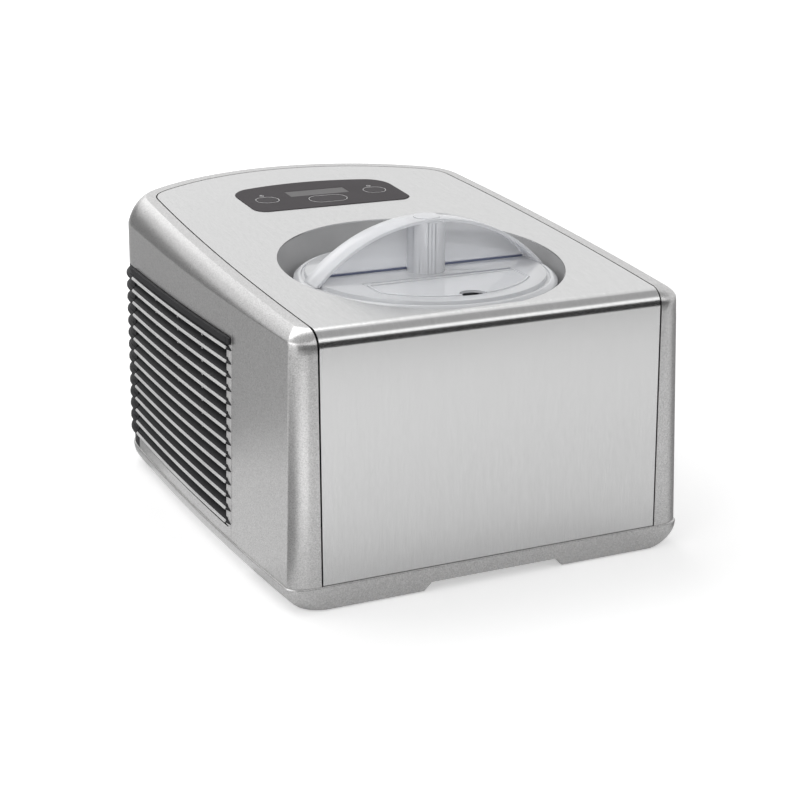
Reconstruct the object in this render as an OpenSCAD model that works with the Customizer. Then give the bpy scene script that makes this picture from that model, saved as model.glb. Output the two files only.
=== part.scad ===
// Compressor ice cream maker: housing, cooling circuit, drive train, bowl, paddle and clear lid.
// X runs to the right, Y to the back and Z up. The origin is on the floor under the middle.

/* [Body] */
// Width of the outer shell at its foot
body_w = 304; // [296:1:316]
// Depth from the tray's front edge to the back of the rear cover
body_d = 395; // [390:1:404]
// Height of the top plate's plane above the front panel
front_h = 187; // [184:1:200]
// Rise of the top plate towards the back, in degrees
top_slope = 4.5; // [3:0.5:6]
// Height of the seam between tray and shell
seam_z = 17.8; // [17:0.1:20]
// Wall of the moulded parts
wall = 2.5; // [2:0.1:3]
// Gap between the steel panel and the shell
seam_gap = 1.0; // [0.6:0.1:1.4]

/* [Edge bead] */
// Flat strip beside the steel panel
strip_w = 8.6; // [7:0.1:10]
// Width of the rolled edge
roll_w = 9; // [8:0.1:11]
// Height of the rolled edge at the front
roll_front_h = 6.7; // [6:0.1:9]
// Height of the rolled edge at the back
roll_back_h = 21.5; // [16:0.5:24]
// How far the sides spread from the rolled edge down to the tray
draft = 4.8; // [3:0.1:6]
// How round the bead's section is, from a straight chamfer at 0 to a quarter ellipse at 1
bead_bulge = 0.45; // [0.3:0.05:0.8]

/* [Steel panel] */
// Thickness of the steel sheet
sheet_t = 1.0; // [0.8:0.1:1.4]
// Outer radius of the fold over the front edge
bend_r = 12; // [9:0.5:14]
// How far the foot of the front panel stands ahead of its top
front_lean = 5.5; // [4:0.1:7]

/* [Base] */
// How far the tray's front stands ahead of the fold
base_lip = 6.3; // [6:0.1:8]
// Height of the arch under the front edge
arch_h = 7; // [6:0.1:8]
// Width of the arch at the floor
arch_w = 111; // [90:1:130]
// Diameter of the rubber feet
foot_d = 24; // [20:1:28]

/* [Grilles] */
// Number of fins in each side grille
fin_count = 14; // [12:1:14]
// Distance from one fin to the next
fin_pitch = 9.5; // [9:0.1:9.6]
// How far the fins stand out of the side
fin_proud = 2.6; // [1.5:0.1:3]
// Distance from the front fold to the grille
grille_start = 98; // [94:1:110]
// Height of the grille's lower edge
grille_z = 25.8; // [25:0.1:28]

/* [Bowl and lid] */
// Inner radius of the bowl
bowl_r = 79; // [74:0.5:79.5]
// Depth of the bowl
bowl_depth = 122; // [112:1:124]
// Distance from the front fold to the bowl's axis
bowl_back = 103.2; // [102:0.1:108]
// Radius of the lid's rim
lid_r = 91.9; // [91:0.1:93]
// Height of the lid's rim above the floor
lid_z = 186.7; // [185:0.1:190]
// Rise of the handle strap above the lid's plate
strap_rise = 38; // [34:0.5:44]
// Width of the handle strap
strap_w = 21; // [18:0.5:24]
// Diameter of the post under the strap
post_d = 26.7; // [22:0.1:30]

/* [Control panel] */
// Width of the control panel
panel_w = 130; // [124:1:136]
// Distance from the front fold to the control panel
panel_back = 252; // [248:1:256]
// Depth of the control panel
panel_d = 66; // [62:1:70]
// Travel of the buttons
button_travel = 0.8; // [0.5:0.1:1]

/* [Drive] */
// Module of the gears
gear_m = 2; // [1.9:0.05:2.05]
// Teeth of the motor pinion
pinion_teeth = 12; // [12:1:13]
// Teeth of the idler's large wheel
wheel_teeth = 50; // [48:1:50]
// Teeth of the idler's small wheel
idler_teeth = 14; // [14:1:15]
// Teeth of the output wheel
output_teeth = 54; // [52:1:54]
// Radius of the paddle shaft
shaft_r = 5; // [4.5:0.1:5.5]

/* [Hidden] */

// Colours
SILVER = "#a9a8a8";
STEEL = "#cfcfcf";
BLACK = "#2b2b2d";
DARK = "#58545a";
CLEAR = "#dfe6ee";
ALU = "#b9bcc0";
COPPER = "#b87446";
WHITE = "#f2f2ef";
GREEN = "#2f6b45";
FOAM = "#e6dcb8";

eps = 0.01;
fit_gap = 0.3;
run_gap = 0.05;

// Outline of the top plate: a long side arc, a corner arc and a rear arc, tangent to each other.
edge_w = strip_w + roll_w + draft;
rear_bump = 8;
front_y = -body_d / 2 + base_lip;
seam_half = body_w / 2 - edge_w;
seam_back = body_d / 2 - rear_bump - edge_w;
plate_len = seam_back - front_y;
side_r = 2600;
rear_r = 205;
corner_r = 25;
side_c = [seam_half - side_r, front_y + plate_len / 3];
rear_c = [0, seam_back - rear_r];
corner_c = meet(side_c, side_r - corner_r, rear_c, rear_r - corner_r);
side_end = angle_to(side_c, corner_c);
rear_end = angle_to(rear_c, corner_c);
side_steps = 6;
corner_steps = 5;
rear_steps = 6;
front_roll_w = 12.4;
front_roll_d = 7.6;
front_roll_steps = 4;
bead_steps = 4;

slope = tan(top_slope);

// Base tray
foot_gap = 1;
tray_top_out = 1;
tray_mid_z = 11.5;
tray_mid_in = 1.2;
tray_foot_in = 14;
tray_heel_in = 7.7;
tray_heel_z = 4.2;
tray_wall = 3;
deck_z = 10;
deck_t = 2.5;
arch_slant = 7.5;
foot_x = body_w / 2 - 44;
foot_front = front_y + 34;
foot_back = seam_back - 62;
foot_block_r = 20;
foot_taper = 3;
foot_slack = 0.4;
foot_dimple_r = 5;
foot_dimple_h = 1.4;
screw_r = 2;
screw_head_r = 4.5;
screw_head_h = 2.6;
screw_room = 1.5;

// Steel panel's folds
rim_h = 5;
foot_lap = 9;
foot_lap_up = 0.3;
foot_lap_in = 4;

// Grilles
grille_top = grille_z + (fin_count - 1) * fin_pitch + 12.7;
cut_ahead = 6.1;
rear_cut = side_c[1] + side_r * sin(side_end) - front_y - cut_ahead;
fin_t = 1.8;
fin_edge = 1.6;
fin_rise = 7.6;
fin_drop = 3.4;
grille_depth = 6;
grille_clear = 0.4;
rib_w = 3;
bar_h = 5;
sill_h = 3;
rib_count = 4;
rib_pitch = (rear_cut - grille_start - 2) / rib_count;
nose_len = 5;
nose_back = 0.5;
nose_rise = 1.3;
nose_in = 0.1;
louvre_w = 120;
louvre_count = 13;
louvre_t = 3;
louvre_edge = 6;
post_w = 4;

// Cord gland
gland_in = 58;
gland_z = seam_z + 17;
gland_r = 8;
gland_flange_r = 10;
gland_flange_y = 9;
gland_root = 14;
gland_bore_r = 3.6;

// Bowl, well and lid
axis_y = front_y + bowl_back;
bowl_wall = 2;
rim_z = lid_z - 2;
bowl_bottom = rim_z - bowl_depth;
bowl_lip = 5;
tube_r = 9;
tube_h = 34;
well_gap = 0.45;
well_r = bowl_r + bowl_wall + well_gap;
well_t = 2;
well_top = rim_z - 9;
well_floor = bowl_bottom - 2.8;
coil_tube = 3.6;
coil_turns = 5;
coil_segments = 24;
coil_gap = 0.3;
coil_r = (well_r + well_t + coil_gap) / cos(180 / coil_segments) + coil_tube;
foam_in = coil_r + coil_tube + 0.5;
foam_t = 5.5;
foam_out = foam_in + foam_t;
foam_floor = well_floor - well_t - 9;
collar_r = 100.7;
collar_back = 7.1;
collar_foot_r = 94.5;
collar_t = 2;
ledge_t = 2;

plate_z = lid_z + 4.2;
plate_r = 84;
plate_t = 3;
skirt_r = bowl_r - 1;
skirt_h = 5;
strap_t = 2.4;
strap_span = 86.8;
strap_r = (strap_span * strap_span + strap_rise * strap_rise) / (2 * strap_rise);
web_t = 2;
flap_half = 57;
flap_back = -17.7;
flap_r = 73;
notch_r = 9.5;
notch_y = -70.2;
flap_t = 1.8;
flap_gap = 0.4;
hinge_r = 0.8;
hinge_in = 0.7;
hinge_room = 0.5;

handle_in = bowl_r + bowl_wall + bowl_lip + 1;
handle_t = 2.4;
handle_h = 5;
ear_t = 3;
pivot_r = 1.5;

// Paddle
paddle_r = bowl_r - 3;
paddle_z = bowl_bottom + bowl_wall + 2;
paddle_top = rim_z - 16;
hub_r = 16;
hub_h = tube_h + 14;
blade_t = 4;
blade_tilt = 12;

// Drive train
drive_dir = 138.7;
pinion_r = gear_m * pinion_teeth / 2;
wheel_r = gear_m * wheel_teeth / 2;
idler_r = gear_m * idler_teeth / 2;
output_r = gear_m * output_teeth / 2;
idler_dist = idler_r + output_r;
motor_dist = idler_dist + pinion_r + wheel_r;
idler_at = [cos(drive_dir) * idler_dist, axis_y + sin(drive_dir) * idler_dist];
motor_at = [cos(drive_dir) * motor_dist, axis_y + sin(drive_dir) * motor_dist];
box_z = 14;
box_wall = 2.5;
box_h = 21;
gear_low_z = box_z + 3.5;
gear_low_t = 7;
gear_high_z = gear_low_z + gear_low_t + 1.5;
gear_high_t = 6;
cover_t = 3;
motor_r = 27;
motor_h = 50;
bush_r = 4;
flat_x = 3.6;

// Cooling parts behind the bowl
comp_r = 46;
comp_x = body_w / 2 - comp_r - 44;
comp_y = seam_back - comp_r - 29.2;
comp_z = deck_z + 12;
comp_h = 104;
comp_base_r = 14;
comp_dome_r = 25;
comp_band = 1.5;
comp_band_h = 3;
comp_foot = 6;
grommet_r = 7;
grommet_neck_r = 3.9;
grommet_head_r = 6;
cond_side = 20;
cond_x = cond_side - body_w / 2;
cond_w = 20;
cond_front = motor_at[1] + motor_r + 13.2;
cond_back = seam_back - 45.1;
cond_y = (cond_front + cond_back) / 2;
cond_len = cond_back - cond_front;
cond_z = 22;
cond_h = 116;
cond_fins = 14;
fan_r = cond_len / 2 - 3.5;
fan_z = 84;
fan_t = 12;
shroud_t = 8;
fan_motor_r = 17;
fan_motor_len = 26;
fan_room = 2;
fan_hub_r = 11;
fan_pin_r = 3;
fan_pitch = 32;
fan_chord = 24;
fan_sheet_t = 1.6;
guard_t = 3;
tube_out_r = 3;
drier_r = 9;
drier_top = 126;
cap_r = 14;
cap_h = 52;
cap_x = comp_x + 48;
cap_y = comp_y - 58;
board_x = body_w / 2 - 68;
board_y = comp_y - comp_r - 79;
board_size = [54, 50];
board_lift = 8;
board_t = 1.6;
board_post_r = 3;
board_post_in = 4;

// Control panel parts, in the frame of the sloping top
bezel_t = 3;
bezel_corner = 10;
bezel_back_r = 20;
bezel_gap = 0.3;
lcd_w = 49;
lcd_d = 14;
lcd_at = [0, panel_back + 37.4];
side_button = [16.5, 13];
long_button = [29, 15];
left_at = [-45.5, panel_back + 27.7];
right_at = [45.5, panel_back + 29.7];
middle_at = [1, panel_back + 18.7];
button_h = 5;
board_drop = 14;
lcd_t = 1.4;
lcd_up = 0.2;
bezel_up = 0.4;
button_up = 0.6;
switch_w = 6;

// Geometry helpers

function angle_to(a, b) = atan2(b[1] - a[1], b[0] - a[0]);

// The rear meeting point of two circles, the first of which lies to the left.
function meet(a, ra, b, rb) =
    let (d = norm(b - a), u = (b - a) / d, s = (ra * ra - rb * rb + d * d) / (2 * d))
    a + u * s + sqrt(ra * ra - s * s) * [-u[1], u[0]];

function arc(c, r, a0, a1, n) = [
    for (i = [0:n])
        let (a = a0 + (a1 - a0) * i / n)
        c + r * [cos(a), sin(a)]
];

function flat_ring(pts, z) = [for (p = pts) [p[0], p[1], z]];

// Solid skin over closed rings of points, from the lowest ring up.
module loft(rings) {
    n = len(rings[0]);
    m = len(rings);
    skin = [
        for (j = [0:m - 2], i = [0:n - 1], half = [0, 1])
            let (a = j * n + i, b = j * n + (i + 1) % n)
            half == 0 ? [a, a + n, b + n] : [a, b + n, b]
    ];
    caps = [[for (i = [0:n - 1]) i], [for (i = [m * n - 1:-1:(m - 1) * n]) i]];
    polyhedron([for (ring = rings) each ring], concat(skin, caps), convexity = 4);
}

function mirror_x(pts) = [for (i = [len(pts) - 1:-1:0]) [-pts[i][0], pts[i][1]]];

// Half width of the outline at a place y, when it is offset by d.
function half_at(y, d) = side_c[0] + sqrt(pow(side_r + d, 2) - pow(y - side_c[1], 2));

// Share of the bead's width and of its height at t, from 0 at the crease to 1 at the strip.
function bead_out(t) = pow(1 - t, 2) + t * (1 - t) * (1 + bead_bulge);
function bead_down(t) = pow(1 - t, 2) + t * (1 - t) * (1 - bead_bulge);

// Right half of the outline offset by d at y0 and by g more from the corner on, to the rear middle.
function half_outline(d, y0, g = 0) = concat(
    [for (i = [0:side_steps])
        let (t = i / side_steps,
             start = asin((y0 - side_c[1]) / (side_r + d)),
             a = start + (side_end - start) * t)
        side_c + (side_r + d + g * t) * [cos(a), sin(a)]],
    [for (i = [1:corner_steps])
        let (a = side_end + (rear_end - side_end) * i / corner_steps)
        corner_c + (corner_r + d + g) * [cos(a), sin(a)]],
    [for (i = [1:rear_steps])
        let (a = rear_end + (90 - rear_end) * i / rear_steps)
        rear_c + (rear_r + d + g) * [cos(a), sin(a)]]
);

// Rounded front corner that ends on the side of the outline offset by d.
function front_round(d, y0) =
    let (x = half_at(y0 + front_roll_d, d) - front_roll_w)
    [for (i = [0:front_roll_steps - 1])
        let (t = 1 - i / front_roll_steps)
        [x + front_roll_w * bead_out(t), y0 + front_roll_d * bead_down(t)]];

function full_outline(d, y0, g = 0) =
    let (right = concat(front_round(d, y0), half_outline(d, y0 + front_roll_d, g)))
    concat(right, mirror_x([for (i = [0:len(right) - 2]) right[i]]));

function plain_outline(d, y0) =
    let (right = half_outline(d, y0))
    concat(right, mirror_x([for (i = [0:len(right) - 2]) right[i]]));

function top_z(y) = front_h + slope * (y - front_y);

function roll_h(y) = roll_front_h + (roll_back_h - roll_front_h) * (y - front_y) / plate_len;

// Place of the front face at a drop below the top plane.
function front_at(drop) =
    drop < bend_r
    ? front_y + bend_r - sqrt(bend_r * bend_r - pow(bend_r - drop, 2))
    : front_y - front_lean * (drop - bend_r) / (front_h - bend_r - seam_z);

// A ring round the body: z falls from a drop at the front to a drop at the back.
function slice(d, y0, g, drop_front, drop_back) =
    let (rise = slope + (drop_front - drop_back) / plate_len)
    [for (p = full_outline(d, y0, g)) [p[0], p[1], front_h - drop_front + rise * (p[1] - front_y)]];

// The body's outer form, moved inwards by w.
module body_form(w, foot = 0) {
    fall = front_h - seam_z;
    under = bend_r / fall;
    loft(concat(
        [flat_ring(full_outline(edge_w - w, front_at(fall) + w), seam_z - foot)],
        [slice(strip_w + roll_w + draft * under - w, front_at(bend_r) + w, draft * (1 - under),
               bend_r + w, bend_r + roll_back_h - roll_front_h + w)],
        [for (i = [0:bead_steps])
            let (t = i / bead_steps, x = bead_out(t), down = bead_down(t))
            slice(strip_w + (roll_w - w) * x, front_at(roll_front_h * down) + w, draft * x,
                  roll_front_h * down + w * t, roll_back_h * down + w * t)]
    ));
}

// Plan of the steel top plate and front panel, grown by g.
module plate_plan(g) {
    polygon(plain_outline(g, front_y - base_lip - 4));
}

// Plan of the top plate in the frame of the sloping top, grown by g, from a distance y0 back.
module top_plan(g, y0) {
    polygon([
        for (p = plain_outline(g, front_y + y0))
            [p[0], (p[1] - front_y) / cos(top_slope)]
    ]);
}

module across(width) {
    rotate([90, 0, 90])
        translate([0, 0, -width / 2])
            linear_extrude(width)
                children();
}

module on_top() {
    translate([0, front_y, front_h])
        rotate([top_slope, 0, 0])
            children();
}

module at_axis() {
    translate([0, axis_y, 0])
        children();
}

module tube(r_out, r_in, h, fn = 96) {
    rotate_extrude($fn = fn)
        translate([r_in, 0])
            square([r_out - r_in, h]);
}

// Housing

module base_tray() {
    front = front_y - base_lip;
    color(SILVER)
        difference() {
            union() {
                difference() {
                    loft([
                        flat_ring(full_outline(edge_w + tray_top_out - tray_foot_in, front), foot_gap),
                        flat_ring(full_outline(edge_w + tray_top_out - tray_heel_in, front), tray_heel_z),
                        flat_ring(full_outline(edge_w + tray_top_out - tray_mid_in, front), tray_mid_z),
                        flat_ring(full_outline(edge_w + tray_top_out, front), seam_z)
                    ]);
                    translate([0, 0, deck_z])
                        linear_extrude(seam_z)
                            polygon(full_outline(edge_w - tray_wall - 2, front + tray_wall));
                    translate([0, 0, -eps])
                        linear_extrude(deck_z - deck_t + eps)
                            polygon(full_outline(edge_w - tray_foot_in - tray_wall,
                                                 front + tray_wall));
                }
                for (x = [-foot_x, foot_x], y = [foot_front, foot_back])
                    translate([x, y, foot_gap])
                        cylinder(r = foot_block_r, h = deck_z - foot_gap - 1, $fn = 48);
            }
            translate([0, front + tray_wall + 1, 0])
                rotate([90, 0, 0])
                    linear_extrude(tray_wall + 3)
                        polygon([
                            [-arch_w / 2, -1], [arch_w / 2, -1],
                            [arch_w / 2 - arch_slant, arch_h], [arch_slant - arch_w / 2, arch_h]
                        ]);
            for (x = [-foot_x, foot_x], y = [foot_front, foot_back]) {
                translate([x, y, 0])
                    cylinder(d = foot_d, h = foot_gap + 2, $fn = 48);
                translate([x, y, 0])
                    cylinder(r = screw_r, h = deck_z + 1, $fn = 24);
            }
        }
}

module rubber_feet() {
    color(BLACK)
        for (x = [-foot_x, foot_x], y = [foot_front, foot_back])
            translate([x, y, 0])
                difference() {
                    union() {
                        cylinder(d1 = foot_d - foot_taper, d2 = foot_d - foot_slack, h = foot_gap + 1, $fn = 48);
                        translate([0, 0, foot_gap + 1])
                            cylinder(d = foot_d - foot_slack, h = 1, $fn = 48);
                    }
                    translate([0, 0, -eps])
                        cylinder(r = foot_dimple_r, h = foot_dimple_h, $fn = 32);
                }
}

module outer_shell() {
    color(SILVER)
        difference() {
            body_form(0);
            body_form(wall, 2);
            translate([0, 0, seam_z - 2])
                linear_extrude(2 * front_h)
                    plate_plan(seam_gap);
            translate([0, front_y + grille_start + body_d / 2, (grille_z + grille_top) / 2])
                cube([2 * body_w, body_d, grille_top - grille_z], center = true);
            translate([-body_w, front_y + rear_cut, seam_z - 2])
                cube([2 * body_w, body_d, grille_top - seam_z]);
        }
}

module front_top_panel() {
    width = 2 * half_at(front_y + bend_r, 0);
    fold_y = front_y + bend_r;
    fold_z = front_h - bend_r + slope * bend_r;
    fold_start = bend_r * (1 - sin(top_slope));
    color(STEEL)
        difference() {
            union() {
                on_top()
                    translate([0, 0, -sheet_t])
                        linear_extrude(sheet_t)
                            top_plan(0, fold_start);
                on_top()
                    translate([0, 0, -rim_h])
                        linear_extrude(rim_h - sheet_t / 2)
                            difference() {
                                top_plan(-0.02, fold_start + 1);
                                top_plan(-sheet_t, fold_start - 1);
                            }
                across(width)
                    polygon(concat(
                        arc([fold_y, fold_z], bend_r, 90 + top_slope - 1, 180, 9),
                        arc([fold_y, fold_z], bend_r - sheet_t, 180, 90 + top_slope - 1, 9)
                    ));
                across(width - 0.04)
                    polygon([
                        [front_y + 0.01, fold_z + 1], [front_y - front_lean, seam_z],
                        [front_y - front_lean + sheet_t, seam_z], [front_y + sheet_t, fold_z + 1]
                    ]);
                across(width - 2 * foot_lap_in)
                    translate([front_y - front_lean, seam_z + foot_lap_up])
                        polygon([
                            [sheet_t / 2, 0], [foot_lap, 0], [foot_lap, sheet_t], [sheet_t / 2, sheet_t]
                        ]);
            }
            on_top()
                translate([0, bowl_back + collar_back, -bend_r])
                    cylinder(r = collar_r, h = 3 * bend_r, $fn = 128);
            on_top()
                translate([0, 0, -bend_r])
                    linear_extrude(3 * bend_r)
                        bezel_plan(bezel_gap);
        }
}

// Plan of the control panel in the frame of the sloping top, grown by g.
module bezel_plan(g) {
    r = bezel_corner + g;
    x = panel_w / 2 - bezel_corner;
    back_r = bezel_back_r + g;
    back_x = panel_w / 2 - bezel_back_r;
    arc_c = [0, panel_back + panel_d - rear_r];
    back_y = arc_c[1] + sqrt(pow(rear_r - bezel_back_r, 2) - back_x * back_x);
    turn = angle_to(arc_c, [back_x, back_y]);
    polygon(concat(
        arc([x, panel_back + bezel_corner], r, -90, 0, 6),
        arc([back_x, back_y], back_r, 0, turn, 6),
        [for (i = [1:9])
            let (a = turn + (180 - 2 * turn) * i / 10)
            arc_c + (rear_r + g) * [cos(a), sin(a)]],
        arc([-back_x, back_y], back_r, 180 - turn, 180, 6),
        arc([-x, panel_back + bezel_corner], r, 180, 270, 6)
    ));
}

// One fin that follows the side: a blade that rises inwards from its outer edge.
module fin_section(d, z) {
    translate([0, z])
        polygon([
            [d + fin_proud - fin_t, 0], [d + fin_proud, 0], [d + fin_proud, fin_edge],
            [d - grille_depth + fin_edge, fin_rise], [d - grille_depth, fin_rise],
            [d - grille_depth, fin_rise - fin_edge]
        ]);
}

// The fin's front end, which stands outside the shell's wall.
module nose_section(d, z) {
    translate([0, z])
        polygon([
            [d + nose_back, nose_in], [d + fin_proud - nose_in, nose_in],
            [d + fin_proud - nose_in, fin_edge - nose_in], [d + nose_back, fin_edge + nose_rise]
        ]);
}

// How far the side has spread at a place y, from 0 at the front to 1 at the corner.
function spread(y) =
    let (start = front_y + front_roll_d)
    (y - start) / (side_c[1] + side_r * sin(side_end) - start);

// Share of the draft at a height z.
function draft_share(z) = (z - seam_z) / (front_h - seam_z);

// Offset of the shell's side at a height z, where the grille begins.
function side_d(z) = edge_w - draft * draft_share(z) * (1 - spread(front_y + grille_start));

// Turns a bar that lies along the side, so that it follows the side's spread at a height z.
module lean_out(z) {
    y0 = front_y + grille_start;
    x0 = half_at(y0, side_d(z));
    gain = draft * draft_share(z) * (spread(front_y + rear_cut) - spread(y0));
    translate([x0, y0, 0])
        rotate([0, 0, -asin(gain / (rear_cut - grille_start))])
            translate([-x0, -y0, 0])
                children();
}

module side_sweep(y0, y1) {
    a0 = asin((y0 - side_c[1]) / (side_r + edge_w));
    a1 = asin((y1 - side_c[1]) / (side_r + edge_w));
    translate([side_c[0], side_c[1], 0])
        rotate([0, 0, a0])
            rotate_extrude(angle = a1 - a0, $fn = 720)
                translate([side_r, 0])
                    children();
}

module side_grille() {
    y0 = front_y + grille_start + grille_clear;
    y1 = front_y + rear_cut - grille_clear;
    z0 = grille_z + grille_clear;
    h = grille_top - grille_z - 2 * grille_clear;
    mid_d = side_d((grille_z + grille_top) / 2);
    back_d = mid_d - grille_depth - 2.5;
    for (i = [0:fin_count - 1]) {
        z = grille_z + fin_drop + i * fin_pitch;
        lean_out(z) {
            side_sweep(y0, y1)
                fin_section(side_d(z), z);
            side_sweep(y0 - nose_len, y0 + eps)
                nose_section(side_d(z), z);
        }
    }
    lean_out(grille_top)
        side_sweep(y0, y1)
            translate([back_d, z0 + h - bar_h])
                square([side_d(grille_top) + fin_proud - back_d, bar_h]);
    side_sweep(y0, y1)
        translate([back_d, z0])
            square([side_d(z0) - back_d - 0.3, sill_h]);
    lean_out((grille_z + grille_top) / 2)
        for (y = [for (i = [0:rib_count - 1]) y0 + 1 + i * rib_pitch, y1 - rib_w - 0.5])
            side_sweep(y, y + rib_w)
                translate([back_d - 0.3, z0 + 1])
                    square([grille_depth - 0.5, h - 2]);
}

module right_grille() {
    color(BLACK)
        side_grille();
}

module left_grille() {
    color(BLACK)
        mirror([1, 0, 0])
            side_grille();
}

// Band that follows the corner from the side cut to the louvre, between two offsets.
function corner_band(d0, d1) =
    let (side_a = function(d) asin((front_y + rear_cut + grille_clear - side_c[1]) / (side_r + d)),
         end_a = function(d) acos((louvre_w / 2 - 2) / (rear_r + d)))
    concat(
        arc(side_c, side_r + d1, side_a(d1), side_end, 2),
        [for (i = [1:corner_steps])
            let (a = side_end + (rear_end - side_end) * i / corner_steps)
            corner_c + (corner_r + d1) * [cos(a), sin(a)]],
        [for (i = [1:4])
            let (a = rear_end + (end_a(d1) - rear_end) * i / 4)
            rear_c + (rear_r + d1) * [cos(a), sin(a)]],
        [for (i = [4:-1:1])
            let (a = rear_end + (end_a(d0) - rear_end) * i / 4)
            rear_c + (rear_r + d0) * [cos(a), sin(a)]],
        [for (i = [corner_steps:-1:1])
            let (a = side_end + (rear_end - side_end) * i / corner_steps)
            corner_c + (corner_r + d0) * [cos(a), sin(a)]],
        arc(side_c, side_r + d0, side_end, side_a(d0), 2)
    );

// Band that follows the rear arc, between two offsets and out to a half width.
function rear_band(d0, d1, half) = concat(
    arc(rear_c, rear_r + d1, acos(half / (rear_r + d1)), 180 - acos(half / (rear_r + d1)), 12),
    arc(rear_c, rear_r + d0, 180 - acos(half / (rear_r + d0)), acos(half / (rear_r + d0)), 12)
);

module rear_cover() {
    z0 = seam_z + grille_clear;
    z1 = grille_top - grille_clear;
    cover_d = edge_w;
    color(BLACK)
        difference() {
            union() {
                for (m = [0, 1])
                    mirror([m, 0, 0]) {
                        translate([0, 0, z0])
                            linear_extrude(z1 - z0)
                                polygon(corner_band(cover_d - wall, cover_d));
                        for (i = [0:fin_count - 1])
                            translate([0, 0, grille_z + fin_drop + i * fin_pitch]) {
                                linear_extrude(fin_edge)
                                    polygon(corner_band(cover_d - 1, cover_d + fin_proud));
                                translate([0, 0, fin_edge - eps])
                                    linear_extrude(fin_edge)
                                        polygon(corner_band(cover_d - 1, cover_d + fin_proud / 2));
                            }
                    }
                for (z = [z0, z1 - louvre_edge])
                    translate([0, 0, z])
                        linear_extrude(louvre_edge)
                            polygon(rear_band(cover_d - wall - 0.2, cover_d + 0.2, louvre_w / 2));
            }
            gland_place()
                cylinder(r = gland_r + 0.4, h = 60, center = true, $fn = 48);
        }
}

module rear_louvre() {
    z0 = seam_z + grille_clear + louvre_edge + 0.3;
    z1 = grille_top - grille_clear - louvre_edge - 0.3;
    cover_d = edge_w;
    half = louvre_w / 2 - 2.4;
    pitch = (z1 - z0 - louvre_t) / (louvre_count - 1);
    color(BLACK)
        union() {
            for (i = [0:louvre_count - 1])
                translate([0, 0, z0 + i * pitch])
                    linear_extrude(louvre_t)
                        polygon(rear_band(cover_d - 2, edge_w + rear_bump, half - 1));
            for (i = [-2:2])
                translate([0, 0, z0 + 0.5])
                    linear_extrude(z1 - z0 - 1)
                        polygon(side_post(cover_d - 3.5, cover_d + rear_bump - 2.5,
                                          i * (half - post_w / 2) / 2 - post_w / 2,
                                          i * (half - post_w / 2) / 2 + post_w / 2));
        }
}

// Post at the end of the louvre, between two offsets and two half widths.
function side_post(d0, d1, x0, x1) = [
    for (q = [[d0, x0], [d0, x1], [d1, x1], [d1, x0]])
        [q[1], rear_c[1] + sqrt(pow(rear_r + q[0], 2) - q[1] * q[1])]
];

module gland_place() {
    translate([gland_in - body_w / 2, seam_back + 1, gland_z])
        rotate([-90, 0, 0])
            children();
}

module cord_gland() {
    color(BLACK)
        gland_place()
            difference() {
                union() {
                    translate([0, 0, -gland_root])
                        cylinder(r = gland_r, h = gland_root + gland_flange_y, $fn = 48);
                    translate([0, 0, gland_flange_y])
                        cylinder(r1 = gland_flange_r, r2 = gland_r - 1, h = 5, $fn = 48);
                }
                translate([0, 0, -20])
                    cylinder(r = gland_bore_r, h = 40, $fn = 32);
            }
}

module lean_cone(r0, z0, r1, grow) {
    hull() {
        translate([0, axis_y, z0])
            cylinder(r = r0 + grow, h = eps, $fn = 96);
        on_top()
            translate([0, bowl_back + collar_back, -sheet_t - 0.15])
                cylinder(r = r1 + grow, h = eps, $fn = 96);
    }
}

module well_collar() {
    color("#8f8e90")
        difference() {
            lean_cone(collar_foot_r, well_top - ledge_t, collar_r, collar_t);
            lean_cone(collar_foot_r, well_top, collar_r, 0);
            translate([0, axis_y, well_top - 3 * ledge_t])
                cylinder(r = well_r + well_t, h = 4 * ledge_t, $fn = 96);
        }
}

// Control panel

module oval(size, h) {
    linear_extrude(h)
        for (x = [-1, 1])
            hull() {
                translate([x * (size[0] - size[1]) / 2, 0])
                    circle(d = size[1], $fn = 32);
                circle(d = size[1], $fn = 32);
            }
}

module control_bezel() {
    color(DARK)
        on_top()
            difference() {
                translate([0, 0, -bezel_t])
                    linear_extrude(bezel_t + bezel_up)
                        bezel_plan(0);
                translate([lcd_at[0] - lcd_w / 2, lcd_at[1] - lcd_d / 2, -bezel_t - 1])
                    cube([lcd_w, lcd_d, bezel_t + 3]);
                for (b = [[left_at, side_button], [right_at, side_button], [middle_at, long_button]])
                    translate([b[0][0], b[0][1], -bezel_t - 1])
                        oval(b[1] + [2, 2] * fit_gap, bezel_t + 3);
            }
}

module lcd_window() {
    color("#7d7b7c")
        on_top()
            translate([lcd_at[0] - lcd_w / 2, lcd_at[1] - lcd_d / 2, -lcd_t])
                cube([lcd_w, lcd_d, lcd_t + lcd_up]);
}

module lcd_module() {
    color("#9aa39a")
        on_top()
            translate([lcd_at[0] - lcd_w / 2 - 4, lcd_at[1] - lcd_d / 2 + 0.5, -board_drop])
                union() {
                    cube([lcd_w + 8, lcd_d - 1, board_drop - bezel_t]);
                    translate([4, 0, board_drop - bezel_t - eps])
                        cube([lcd_w, lcd_d - 1, bezel_t - lcd_t]);
                }
}

module control_board() {
    color(GREEN)
        on_top()
            union() {
                translate([-panel_w / 2 + 8, panel_back + 8, -board_drop - board_t])
                    cube([panel_w - 16, panel_d - 22, board_t]);
                for (b = [left_at, right_at, middle_at])
                    translate([b[0] - switch_w / 2, b[1] - switch_w / 2, -board_drop - eps])
                        cube([switch_w, switch_w, board_drop - button_h - button_travel - fit_gap]);
                for (x = [-1, 1], y = [panel_back + 12, panel_back + panel_d - 20])
                    translate([x * (panel_w / 2 - 12), y, -board_drop - eps])
                        cylinder(r = board_post_r, h = board_drop - bezel_t + eps, $fn = 24);
            }
}

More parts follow.
